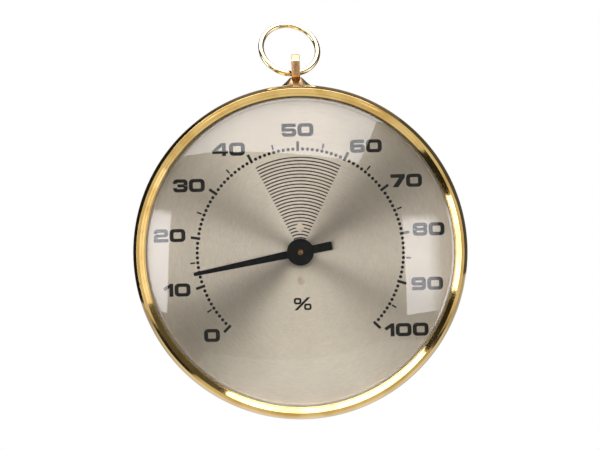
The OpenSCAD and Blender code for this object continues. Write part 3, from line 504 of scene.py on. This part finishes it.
# PRINT draws what was measured on the photograph a little closer in, to suit the frame's bezel
DIAL_FRONT, INK, PRINT = 20.6, 0.02, 0.9935
print("ink", INK, "mm thick on the dial at", DIAL_FRONT)

# %% Scale marks in Geometry Nodes
lengths = ("First Angle", "Step", "Ring Radius", "Length", "Width", "Thickness", "Front")
sizes = {"Count": "Int", "Skip Every": "Int", **dict.fromkeys(lengths, "Float"), "Round": "Bool"}
sizes["Material"] = "Material"
marks, given, last = nodes_tree("scale_marks", sizes)
index = put(marks, "GeometryNodeInputIndex")
turned_by = put(marks, MATH, {0: index, 1: given["Step"]}, operation="MULTIPLY")
angle = put(marks, MATH, {0: given["First Angle"], 1: turned_by}, operation="SUBTRACT")
along = put(marks, MATH, {0: angle}, operation="COSINE")
up = put(marks, MATH, {0: angle}, operation="SINE")
direction = put(marks, JOIN, {0: along, 1: up})
spot = put(marks, VECTOR, {0: direction, "Scale": given["Ring Radius"]}, operation="SCALE")
points = put(marks, "GeometryNodePoints", {"Count": given["Count"], "Position": spot})
dot_r = put(marks, MATH, {0: given["Width"], 1: 0.5}, operation="MULTIPLY")
sockets = {"Vertices": 20, "Radius": dot_r, "Depth": given["Thickness"]}
dot = put(marks, "GeometryNodeMeshCylinder", sockets, fill_type="NGON")
size = put(marks, JOIN, {0: given["Length"], 1: given["Width"], 2: given["Thickness"]})
bar = put(marks, "GeometryNodeMeshCube", {"Size": size})
shape = put(marks, "GeometryNodeSwitch", {0: given["Round"], 1: bar, 2: dot})
over = put(marks, "FunctionNodeIntegerMath", {0: index, 1: given["Skip Every"]}, operation="MODULO")
kept = put(marks, "FunctionNodeCompare", {2: over, 3: 0}, data_type="INT", operation="NOT_EQUAL")
aim = put(marks, JOIN, {2: angle})
sockets = {"Points": points, "Selection": kept, "Instance": shape, "Rotation": aim}
placed = put(marks, "GeometryNodeInstanceOnPoints", sockets)


def end_print(tree, given, last, flat):
    """Stands flat print upright, so far in front of the back, at the end of a tree."""
    proud = put(tree, JOIN, {1: given["Front"]})
    sockets = {0: flat, "Translation": proud, "Rotation": (math.pi / 2, 0, 0)}
    end_tree(tree, given, last, put(tree, "GeometryNodeTransform", sockets))


end_print(marks, given, last, placed)

ink_middle = -(DIAL_FRONT + INK / 2) * MM
common = {"Thickness": INK * MM, "Front": ink_middle, "Material": ink}
ZERO_AT, PER_CENT = 225, 2.7  # degrees


def printed_marks(name, count, first, step, ring_mm, length, width, skip, is_round):
    """One family of marks round the scale, sizes in millimetres and angles in degrees."""
    values = dict(common, Count=count, Step=math.radians(step), Length=length * MM, Width=width * MM)
    values.update({"First Angle": math.radians(first), "Ring Radius": ring_mm * PRINT * MM})
    values.update({"Skip Every": skip, "Round": is_round})
    return grow(name, marks, values)


# skip 10 leaves out the dots at the tens; a skip of more than the count would leave out mark 0,
# so the bars start one step early and that first mark is the one left out
TEN = 10 * PER_CENT
printed_marks("scale_dots", 101, ZERO_AT, PER_CENT, 31.0, 1.0, 1.0, 10, True)
printed_marks("scale_bars_tens", 12, ZERO_AT + TEN, TEN, 31.82, 2.85, 0.82, 1000, False)
printed_marks("scale_bars_fives", 11, ZERO_AT + TEN / 2, TEN, 32.55, 1.5, 0.48, 1000, False)

# %% [markdown]
# The fan between 40 and 60 per cent marks comfortable air. It is 25 arcs, one millimetre apart,
# each a thin printed line of the same width. An arc of radius one is instanced on 25 points and
# scaled by its own radius, and only then is the flat line profile swept along it, so that the
# lines keep their width.

# %% Comfort fan in Geometry Nodes
lengths = ("First Radius", "Gap", "Half Angle", "Line Width", "Thickness", "Front")
sizes = {"Count": "Int", **dict.fromkeys(lengths, "Float"), "Material": "Material"}
fan, given, last = nodes_tree("comfort_fan", sizes)
index = put(fan, "GeometryNodeInputIndex")
radius = put(fan, MATH, {0: index, 1: given["Gap"], 2: given["First Radius"]}, operation="MULTIPLY_ADD")
scale = put(fan, JOIN, {0: radius, 1: radius, 2: radius})
points = put(fan, "GeometryNodePoints", {"Count": given["Count"]})
begin = put(fan, MATH, {0: math.pi / 2, 1: given["Half Angle"]}, operation="SUBTRACT")
sweep = put(fan, MATH, {0: given["Half Angle"], 1: 2.0}, operation="MULTIPLY")
sockets = {"Resolution": 48, "Radius": 1.0, "Start Angle": begin, "Sweep Angle": sweep}
unit = put(fan, "GeometryNodeCurveArc", sockets)
arcs = put(fan, "GeometryNodeInstanceOnPoints", {"Points": points, "Instance": unit, "Scale": scale})
real = put(fan, "GeometryNodeRealizeInstances", {0: arcs})
sockets = {"Width": given["Line Width"], "Height": given["Thickness"]}
flat = put(fan, "GeometryNodeCurvePrimitiveQuadrilateral", sockets)
lines = put(fan, "GeometryNodeCurveToMesh", {"Curve": real, "Profile Curve": flat, "Fill Caps": True})
end_print(fan, given, last, lines)
values = {"First Radius": 4.3 * PRINT * MM, "Half Angle": math.radians(26.6), "Line Width": 0.35 * MM}
comfort = grow("comfort_fan", fan, dict(common, Count=25, Gap=1.008 * PRINT * MM, **values))
spans = [[v.co[i] for v in comfort.data.vertices] for i in (0, 1, 2)]
print("fan spans in mm:", [round((max(span) - min(span)) / MM, 2) for span in spans])

# %% [markdown]
# The numerals are a wide, squared, bold face: upright strokes of 1.05 mm, level ones of 0.9 mm,
# and corners rounded outside and in. A font file would bring somebody else's letters in, so each
# figure is drawn here as a list of corners, each with its own rounding radius, plus its holes.
# Flat curves fill such outlines and their holes cleanly, and are then made a mesh.

# %% Shapes of the figures
WIDE, TALL, STEM, BEAM, R_OUT = 4.25, 3.76, 1.05, 0.88, 1.05
MID = TALL / 2
HALF = 0.38  # half the height of a middle bar
right, top = WIDE - STEM, TALL - BEAM
hook = 1.2  # height of the hooked ends of 2 and 3


def frame_of(x0, y0, x1, y1, r):
    """A rounded rectangle as corners."""
    return [(x0, y0, r), (x1, y0, r), (x1, y1, r), (x0, y1, r)]


six = [
    [(0, 0, R_OUT), (WIDE, 0, R_OUT), (WIDE, 2.36, 0.9), (STEM, 2.36, 0.15), (STEM, top, 0.3),
     (WIDE - 0.2, top, 0), (WIDE - 0.2, TALL, 0.1), (0, TALL, R_OUT)],
    frame_of(STEM, BEAM, right, 1.56, 0.3),
]
waist = [(WIDE, MID - 0.02, 0.55), (WIDE - 0.3, MID, 0), (WIDE, MID + 0.02, 0.55)]
head = [(WIDE, TALL, R_OUT), (0, TALL, R_OUT)]
beak = [(0, TALL - hook, 0), (STEM, TALL - hook, 0), (STEM, top, 0.2), (right, top, 0.3)]
FIGURES = {
    "0": (4.6, [frame_of(0, 0, 4.6, TALL, 1.15), frame_of(STEM, BEAM, 4.6 - STEM, top, 0.42)]),
    "1": (2.85, [[(1.8, 0, 0), (2.85, 0, 0), (2.85, TALL, 0), (2.0, TALL, 0), (0, TALL - 1.3, 0),
                  (0.5, TALL - 2.0, 0), (1.8, TALL - 1.15, 0)]]),
    "2": (WIDE, [[(0, 0, 0), (WIDE, 0, 0), (WIDE, BEAM, 0), (STEM, BEAM, 0.2), (STEM, MID - HALF, 0.2),
                  (WIDE, MID - HALF, 0.9), *head, *beak, (right, MID + HALF, 0.3), (0, MID + HALF, 0.9)]]),
    "3": (WIDE, [[(0, 0, R_OUT), (WIDE, 0, R_OUT), *waist, *head, *beak,
                  (right, MID + HALF, 0.25), (1.35, MID + HALF, 0), (1.35, MID - HALF, 0),
                  (right, MID - HALF, 0.25), (right, BEAM, 0.3), (STEM, BEAM, 0.2), (STEM, hook, 0),
                  (0, hook, 0)]]),
    "4": (4.55, [[(2.93, 0, 0), (3.95, 0, 0), (3.95, 0.68, 0), (4.55, 0.68, 0), (4.55, 1.47, 0),
                  (3.95, 1.47, 0), (3.95, TALL, 0), (2.55, TALL, 0), (0, 1.5, 0), (0, 0.68, 0),
                  (2.93, 0.68, 0)],
                 [(1.3, 1.47, 0), (2.93, 1.47, 0), (2.93, 2.95, 0)]]),
    "5": (WIDE, [[(0, 0, R_OUT), (WIDE, 0, R_OUT), (WIDE, 2.36, R_OUT), (STEM, 2.36, 0), (STEM, top, 0),
                  (WIDE - 0.15, top, 0), (WIDE - 0.15, TALL, 0), (0, TALL, 0), (0, 1.56, 0),
                  (right, 1.56, 0.3), (right, BEAM, 0.3), (STEM, BEAM, 0.2), (STEM, 1.1, 0), (0, 1.1, 0)]]),
    "6": (WIDE, six),
    "7": (WIDE, [[(0.75, 0, 0), (2.3, 0, 0), (WIDE, 2.85, 0), (WIDE, TALL, 0), (0, TALL, 0),
                  (0.15, TALL - 0.95, 0), (2.75, TALL - 0.95, 0)]]),
    "8": (WIDE, [[(0, 0, R_OUT), (WIDE, 0, R_OUT), *waist, *head,
                  (0, MID + 0.02, 0.55), (0.3, MID, 0), (0, MID - 0.02, 0.55)],
                 frame_of(STEM, BEAM, right, MID - HALF, 0.25),
                 frame_of(STEM, MID + HALF, right, top, 0.25)]),
    "9": (WIDE, [[(WIDE - x, TALL - y, r) for x, y, r in loop] for loop in six]),
}
PERCENT = [
    [(0.02, 0.0, 0), (0.85, 0.0, 0), (4.72, 3.75, 0), (3.87, 3.75, 0)],
    frame_of(-0.1, 1.78, 2.05, 3.63, 0.62), frame_of(0.4, 2.26, 1.55, 3.15, 0.24),
    frame_of(2.9, 0.02, 5.05, 1.87, 0.62), frame_of(3.4, 0.5, 4.55, 1.39, 0.24),
]
print("figures drawn:", " ".join(FIGURES))

# %% [markdown]
# A filled outline needs plain points, so every corner with a radius becomes a short arc first. The
# fill is a flat curve, given its thickness and, where asked, rounded edges, and stood upright.

# %% Corners into smooth outlines, outlines into meshes
def smooth_loop(corners, steps=5):
    """Replaces each corner that has a radius by points on its arc."""
    points = []
    for i, (x, y, r) in enumerate(corners):
        if not r:
            points.append((x, y))
            continue
        here = Vector((x, y))
        back = (Vector(corners[i - 1][:2]) - here).normalized()
        ahead = (Vector(corners[(i + 1) % len(corners)][:2]) - here).normalized()
        half = back.angle(ahead) / 2
        centre = here + (back + ahead).normalized() * (r / math.sin(half))
        first = here + back * (r / math.tan(half)) - centre
        final = here + ahead * (r / math.tan(half)) - centre
        start = math.atan2(first.y, first.x)
        sweep = (math.atan2(final.y, final.x) - start + math.pi) % (2 * math.pi) - math.pi
        for k in range(steps + 1):
            a = start + sweep * k / steps
            points.append((centre.x + r * math.cos(a), centre.y + r * math.sin(a)))
    return points


def fill_loops(name, loops, back=DIAL_FRONT, thick=INK, edge=0.0, material=ink, body="root", swell=0.0):
    """One flat filled mesh from closed loops in millimetres, with rounded edges or swollen outlines."""
    flat = bpy.data.curves.new(name, "CURVE")
    flat.dimensions = "2D"
    flat.fill_mode = "BOTH"
    flat.extrude = (thick / 2 - edge) * MM
    flat.bevel_depth = edge * MM
    flat.bevel_resolution = 2
    flat.offset = (swell - edge) * MM
    for loop in loops:
        spline = flat.splines.new("POLY")
        spline.points.add(len(loop) - 1)
        for point, (x, y) in zip(spline.points, loop):
            point.co = (x * MM, y * MM, 0, 1)
        spline.use_cyclic_u = True
    holder = stand(name, flat)
    seen = holder.evaluated_get(bpy.context.evaluated_depsgraph_get())
    made = bpy.data.meshes.new_from_object(seen)
    bpy.data.objects.remove(holder)
    shape = bmesh.new()
    shape.from_mesh(made)
    bmesh.ops.remove_doubles(shape, verts=shape.verts, dist=1e-7)
    bmesh.ops.recalc_face_normals(shape, faces=shape.faces)
    middle = -(back + thick / 2) * MM
    shape.transform(Matrix.Translation((0, middle, 0)) @ Matrix.Rotation(math.pi / 2, 4, "X"))
    shape.to_mesh(made)
    shape.free()
    made.materials.clear()
    made.materials.append(material)
    piece = stand(name, made)
    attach(piece, body)
    print(name, "has", len(made.polygons), "faces")
    return piece


print("a corner of radius 1 gets", len(smooth_loop(frame_of(0, 0, 4, 4, 1))) // 4, "points")

# %% [markdown]
# Each number stands upright outside its tick, centred on a point that was measured on the dial.
# Ink spreads as it is pressed through the screen, so every outline swells by some hundredths of a
# millimetre. The percent sign below the middle has a thinner stroke. Its bar and its open rings
# cross, so they are two pieces, because an outline that crosses itself doesn't fill.

# %% Print the numerals
CENTRES = {
    0: (-27.2, -24.4), 10: (-37.4, -10.5), 20: (-39.2, 5.9), 30: (-33.0, 20.8), 40: (-20.8, 31.4),
    50: (0.05, 36.7), 60: (20.5, 31.35), 70: (32.3, 20.7), 80: (38.7, 5.95), 90: (37.85, -10.4),
    100: (31.3, -24.1),
}
GAP = 0.5
loops = []
for number, (cx, cy) in CENTRES.items():
    digits = str(number)
    width = sum(FIGURES[d][0] for d in digits) + GAP * (len(digits) - 1)
    x, y = cx * PRINT - width / 2, cy * PRINT - TALL / 2
    for d in digits:
        for corners in FIGURES[d][1]:
            loops.append([(x + px, y + py) for px, py in smooth_loop(corners)])
        x += FIGURES[d][0] + GAP
numerals = fill_loops("numerals", loops, swell=0.07)
SIGN_X, SIGN_Y = -2.18, -17.35
percent_loops = [[(px + SIGN_X, py + SIGN_Y) for px, py in smooth_loop(c)] for c in PERCENT]
fill_loops("percent_slash", percent_loops[:1], swell=0.05)
fill_loops("percent_rings", percent_loops[1:], swell=0.05)
tall = [f(v.co.z for v in numerals.data.vertices if abs(v.co.x) < 8 * MM) / MM for f in (min, max)]
print("a printed figure is", round(tall[1] - tall[0], 2), "mm tall with its ink spread, drawn", TALL)

# %% [markdown]
# The hand and the cover on its hub are thin sheet, painted black by dipping. Such paint is satin,
# with a faint orange peel, and it is worn a little thin where it was handled.

# %% Painted hand
pointer_paint = coated("enamel_black_satin", 1.5, 0.2, ("0b0907", "15120e"),
                       (1.2, 4.0, 0.5, 0.8), (0.8, 3.0, 0.36, 0.48), (0.4, 1.0, 0.008))
print("hand finish made")

# %% [markdown]
# The hand is punched from sheet: a long taper with a square tail, and a disc round its hole, which
# the cover hides. It stands a little wider here than in the frame, as the photograph has it, in the
# same plane. A burr from punching is rubbed off, so its edges catch a thin line of light.

# %% Punch the hand
READING, HAND_BACK, HAND_T = 12.8, 22.2, 0.3
hand_angle = math.radians(ZERO_AT - READING * PER_CENT)
TIP_X, TIP_W, ROOT_X, ROOT_W, TAIL_X, TAIL_W, DISC_R, HOLE_R = 32.5, 1.1, 1.21, 2.4, 9.7, 2.6, 1.7, 0.86
outline = [(TIP_X, -TIP_W / 2, 0.45), (TIP_X, TIP_W / 2, 0.45), (ROOT_X, ROOT_W / 2, 0)]
outline += [(x, y, 0) for x, y in arc((0, 0), DISC_R, DISC_R, 50, 130)]
outline += [(-ROOT_X, ROOT_W / 2, 0), (-TAIL_X, TAIL_W / 2, 0.4), (-TAIL_X, -TAIL_W / 2, 0.4)]
outline += [(-ROOT_X, -ROOT_W / 2, 0)]
outline += [(x, y, 0) for x, y in arc((0, 0), DISC_R, DISC_R, 230, 310)]
outline += [(ROOT_X, -ROOT_W / 2, 0)]
hole = arc((0, 0), HOLE_R, HOLE_R, 0, 350, 35)


def along_hand(points):
    """Turns points drawn along X to where the hand stands."""
    c, s = math.cos(hand_angle), math.sin(hand_angle)
    return [(x * c - y * s, x * s + y * c) for x, y in points]


hand = fill_loops("pointer_hand", [along_hand(smooth_loop(outline)), along_hand(hole)],
                  HAND_BACK, HAND_T, 0.04, pointer_paint, "pointer")
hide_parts("pointer")

# %% [markdown]
# Steel in the movement is turned and left bright, a grey metal with lathe lines. The hairspring is
# rolled strip. The hair is degreased and pale brown, in strands of 0.07 mm, drawn here at 0.2 mm so
# that they show.

# %% Steel and hair
steel, tree, skin = finish_named("steel_turned_bright", Metallic=1.0)
place, unrolled, _ = round_the_axis(tree)
cuts = put(tree, NOISE, {"Vector": unrolled, "Scale": METRE / 0.15, "Detail": 3.0})
patches = put(tree, NOISE, {"Vector": place, "Scale": METRE / 2, "Detail": 3.0})
colour = put(tree, MIX, {0: patches, 6: linear("b9bbbc"), 7: linear("9c9c99")}, data_type="RGBA").outputs[2]
sheen = put(tree, RANGE, {0: cuts, 1: 0.3, 2: 0.7, 3: 0.2, 4: 0.36})
bump = put(tree, BUMP, {"Height": cuts, "Distance": 0.003 * MM})
wire(skin, {"Base Color": colour, "Roughness": sheen, "Normal": bump})

# the same noise, drawn out fifty times along Z, makes the strands' colour, gloss and relief
hair = coated("hair_degreased", 1.55, 0.5, ("a98458", "5d4428"),
              (0.2, 2.0, 0.0, 1.0), (0.2, 2.0, 0.35, 0.55), (0.2, 2.0, 0.05), (1.0, 1.0, 0.02))
print("materials so far:", len(bpy.data.materials))

# %% [markdown]
# Every piece that the CAD model carries over keeps its shape and gets the finish of the real one.

# %% Dress the CAD pieces
FINISHES = [
    (brass_drawn, "case_shell"),
    (brass_polished, "bezel pendant"),
    (brass_wire, "hanging_ring"),
    (glass_pane, "glass"),
    (dial_metal, "dial"),
    (brass_rivet, "dial_posts"),
    (dial_metal, "spacer_ring"),
    (pointer_paint, "pointer pointer_hub"),
    (brass_bush, "pointer_bush"),
    (brass_stamped, "front_plate back_plate sector lower_clip upper_clip"),
    (brass_rod, "case_pillars plate_pillars pinion spring_collet spring_stud pendant_washer pendant_nut"),
    (steel, "case_screws plate_screws hairspring sector_arbor adjuster adjuster_washer"),
    (steel_straw, "pointer_arbor"),
    (hair, "hair_bundle"),
]
dressed = set()
for finish, names in FINISHES:
    for name in names.split():
        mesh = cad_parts[name].data
        mesh.materials.clear()
        mesh.materials.append(finish)
        dressed.add(name)
print("CAD pieces dressed:", len(dressed), "of", len(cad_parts))

# %% [markdown]
# The room. Polished brass and glass show what stands round them, so most of the picture is made of
# large pale and dark cards, as in a product studio: a sloping diffuser above, a tall window at the
# left and one at the right, and black flags in front, at the sides and behind that give the dark
# lines in the moulding. They are seen only in reflections and through the glass. They throw no
# light on matt surfaces: plain lamps do that, which in turn don't show in reflections.

# %% Cards that the metal and glass reflect
def glow(name, colour, strength, fades):
    """A light-giving finish for a card; each fade (axis, dark at, bright at) softens one edge."""
    material, tree = empty_material(name)
    level = strength
    for axis, dark_at, bright_at in fades:
        place = put(tree, COORDS).outputs["Object"]
        along = put(tree, "ShaderNodeSeparateXYZ", {0: place}).outputs[axis]
        edge = put(tree, RANGE, {0: along, 1: dark_at, 2: bright_at})
        level = put(tree, MATH, {0: level, 1: edge}, operation="MULTIPLY")
    lamp = put(tree, "ShaderNodeEmission", {"Color": linear(colour), "Strength": level})
    put(tree, "ShaderNodeOutputMaterial", {"Surface": lamp})
    return material


def card(name, corners, colour, strength, fades=()):
    """A flat card that only reflections and glass see."""
    mesh = bpy.data.meshes.new(name)
    mesh.from_pydata(corners, [], [tuple(range(len(corners)))])
    mesh.materials.append(glow(name, colour, strength, fades))
    made = stand(name, mesh)
    made.visible_camera = False
    made.visible_diffuse = False
    made.visible_shadow = False
    return made


FLOOR_Z = -0.30
NEUTRAL, COOL, WHITE = "f8f6fd", "e8eeff", "ffffff"


def wall(name, a, b, z0, z1, strength, colour=WHITE):
    """An upright card over the floor line from a to b."""
    return card(name, [(*a, z0), (*b, z0), (*b, z1), (*a, z1)], colour, strength)


def mat(name, outline, strength, lift=0.002):
    """A dark card that lies just over the floor."""
    return card(name, [(x, y, FLOOR_Z + lift) for x, y in outline], WHITE, strength)


# above: a diffuser in four parts, whose near edge is bowed as the dome's upper reflection shows it
card("softbox_top", [
    (-0.40, -1.105, 0.256), (-0.227, -1.085, 0.268), (-0.113, -1.093, 0.263), (0.008, -1.106, 0.255),
    (0.118, -1.122, 0.245), (0.169, -1.14, 0.234), (0.239, -0.87, 0.404), (-0.25, -0.87, 0.404),
    (-0.30, -0.95, 0.354)], NEUTRAL, 2.95)
card("ceiling_front", [
    (0.215, -0.87, 0.404), (0.245, -0.7, 0.512), (-0.746, -0.7, 0.512), (-0.668, -0.87, 0.404)], WHITE, 0.95)
card("ceiling_middle", [
    (0.245, -0.7, 0.512), (0.31, -0.379, 0.714), (-0.6, -0.379, 0.714), (-0.5, -0.7, 0.512)], WHITE, 2.7)
card("softbox_overhead", [
    (0.38, -0.379, 0.714), (0.47, -0.178, 0.841), (0.55, 0.42, 0.96), (-1.0, 0.42, 0.96),
    (-0.984, -0.178, 0.841), (-0.892, -0.379, 0.714)], COOL, 6.5)

# at the left and the right: the window that the dome shows, and a softbox that the slope shows
card("softbox_left", [
    (-0.353, -1.118, 0.118), (-0.359, -1.065, -0.16), (-0.382, -0.85, -0.132), (-0.382, -0.85, 0.097)],
    NEUTRAL, 4.4, [(2, 0.12, 0.095)])
wall("softbox_side", (-0.45, -0.22), (-0.47, -0.03), -0.166, 0.122, 6.0, "eef2ff")
card("window_right", [
    (0.276, -1.1, 0.087), (0.285, -1.1, -0.186), (0.39, -1.1, -0.177), (0.38, -1.1, 0.087)],
    NEUTRAL, 3.75, [(2, 0.088, 0.066), (0, 0.39, 0.35)])
wall("softbox_right", (0.45, -0.35), (0.45, -0.02), -0.295, 0.137, 1.7, "f4f6ff")

# black flags give the dark lines, and those behind darken the outer side of the bezel
wall("flag_left", (-1.1, -1.3), (-1.1, 0.0), FLOOR_Z, 0.95, 0.04)
mat("flag_low_left", [(-1.2, -1.25), (-0.3, -1.25), (-0.25, -0.77), (-0.41, 0.1), (-1.2, 0.1)], 0.03)
mat("flag_low_right", [(0.38, -1.05), (0.75, -1.05), (0.75, -0.3), (0.38, -0.3)], 0.03)
card("flag_right", [(0.85, -1.2, 0.26), (0.85, 0.05, 0.26), (0.5, 0.05, 0.98), (0.5, -1.2, 0.98)],
     WHITE, 0.13)
wall("flag_back_left", (-0.8, 0.02), (-0.8, 3.0), -0.245, 1.0, 0.02)
card("flag_back_top", [(-0.8, 0.44, 1.0), (0.8, 0.44, 1.0), (0.8, 3.0, 1.0), (-0.8, 3.0, 1.0)],
     WHITE, 0.22, [(0, -0.85, -0.35)])
wall("flag_back_right", (0.8, 0.02), (0.8, 3.0), -0.14, 1.0, 0.1)

# a dark mat on the floor before the camera ends in a curve
mat("mat_front", [
    (-0.40, -1.3), (-0.31, -1.223), (-0.22, -1.159), (-0.12, -1.109), (-0.01, -1.09), (0.11, -1.145),
    (0.23, -1.271), (0.25, -1.3)], 0.07, 0.003)

# the board in front is black round the lens and white further out, where the bezel's crest mirrors it
front = wall("flag_front", (-1.2, -1.3), (1.2, -1.3), FLOOR_Z, 1.0, 1.0)
tree = front.data.materials[0].node_tree
place = put(tree, COORDS).outputs["Object"]
flat = put(tree, VECTOR, {0: place, 1: (1, 0, 1)}, operation="MULTIPLY")
from_lens = put(tree, VECTOR, {0: flat}, operation="LENGTH").outputs["Value"]
lamp_node = next(n for n in tree.nodes if n.type == "EMISSION")
brightness = put(tree, RANGE, {0: from_lens, 1: 0.5, 2: 0.6, 3: 0.05, 4: 0.9})
wire(lamp_node, {"Strength": brightness})

# %% [markdown]
# The floor is plain and pale and lies under the hanging instrument. Near it, the floor is lit and
# takes the shadow; further off it turns into the white of the background, so no horizon shows.

# %% Floor and world
floor_paint, tree, skin = finish_named("floor_pale_matt", Roughness=0.8)
place = put(tree, COORDS).outputs["Object"]
clouds = put(tree, NOISE, {"Vector": place, "Scale": METRE / 40})
pale = put(tree, MIX, {0: clouds, 6: linear("f4f3f1"), 7: linear("efeeeb")}, data_type="RGBA").outputs[2]
wire(skin, {"Base Color": pale})
rays = put(tree, "ShaderNodeLightPath").outputs
distance = put(tree, VECTOR, {0: place}, operation="LENGTH").outputs["Value"]
far = put(tree, RANGE, {0: distance, 1: 0.35, 2: 1.3})
seen_far = put(tree, MATH, {0: rays["Is Camera Ray"], 1: far}, operation="MULTIPLY")


def mirror_share(tree, rays):
    """1 for a ray off polished metal or through glass, else 0."""
    sockets = {0: rays["Is Glossy Ray"], 1: rays["Is Transmission Ray"]}
    return put(tree, MATH, sockets, operation="MAXIMUM")


bare = put(tree, MATH, {0: seen_far, 1: mirror_share(tree, rays)}, operation="MAXIMUM")
# in reflections the floor glows as a painted pool of light, brightest right under the instrument
fall = put(tree, RANGE, {0: distance, 1: 0.5, 2: 1.0, 3: 1.0, 4: 0.55})
plain = put(tree, MATH, {0: rays["Is Camera Ray"], 1: fall}, operation="MAXIMUM")
white = put(tree, "ShaderNodeEmission", {0: (1, 1, 1, 1), 1: plain})
both = put(tree, "ShaderNodeMixShader", {0: bare, 1: skin, 2: white})
out = next(n for n in tree.nodes if n.type == "OUTPUT_MATERIAL")
wire(out, {0: both})
mesh = bpy.data.meshes.new("floor")
mesh.from_pydata([(-3, -3, FLOOR_Z), (3, -3, FLOOR_Z), (3, 3, FLOOR_Z), (-3, 3, FLOOR_Z)], [], [(0, 1, 2, 3)])
mesh.materials.append(floor_paint)
floor = stand("floor", mesh)
print("floor", round(-FLOOR_Z / MM), "mm under the middle of the dial")

world = bpy.data.worlds.new("studio_white")
bpy.context.scene.world = world
world.use_nodes = True
tree = world.node_tree
tree.nodes.clear()
rays = put(tree, "ShaderNodeLightPath").outputs
bare = put(tree, MATH, {0: rays["Is Camera Ray"], 1: mirror_share(tree, rays)}, operation="MAXIMUM")
level = put(tree, RANGE, {0: bare, 3: 0.4})
sky = put(tree, "ShaderNodeBackground", {0: (1, 1, 1, 1), 1: level})
put(tree, "ShaderNodeOutputWorld", {0: sky})
print("white background at strength 1")

# %% [markdown]
# Three plain area lamps light the matt surfaces: ink, paint, hair and floor. Their powers are
# worked out so that a white card facing the camera would be just short of full white.

# %% Lamps
def lamp(name, place, width, share):
    """A square area lamp aimed at the dial that gives a facing white card that share of white."""
    distance = Vector(place).length
    facing = abs(place[1]) / distance
    data = bpy.data.lights.new(name, "AREA")
    data.size = width
    data.energy = share * math.pi**2 * distance**2 / max(facing, 0.2)
    made = stand(name, data)
    made.location = place
    made.rotation_euler = Vector(place).to_track_quat("Z", "Y").to_euler()
    made.visible_glossy = False
    made.visible_transmission = False
    print(name, "gives", round(data.energy, 2), "W from", round(distance, 2), "m")


lamp("key_lamp", (-0.55, -0.95, 0.75), 0.5, 0.32)
lamp("fill_lamp", (0.8, -0.9, 0.25), 0.6, 0.14)
lamp("back_lamp", (0.3, 1.0, 0.7), 0.6, 0.3)

# %% [markdown]
# Colours come out as written with the Standard view.

# %% Finish
bpy.context.scene.view_settings.view_transform = "Standard"
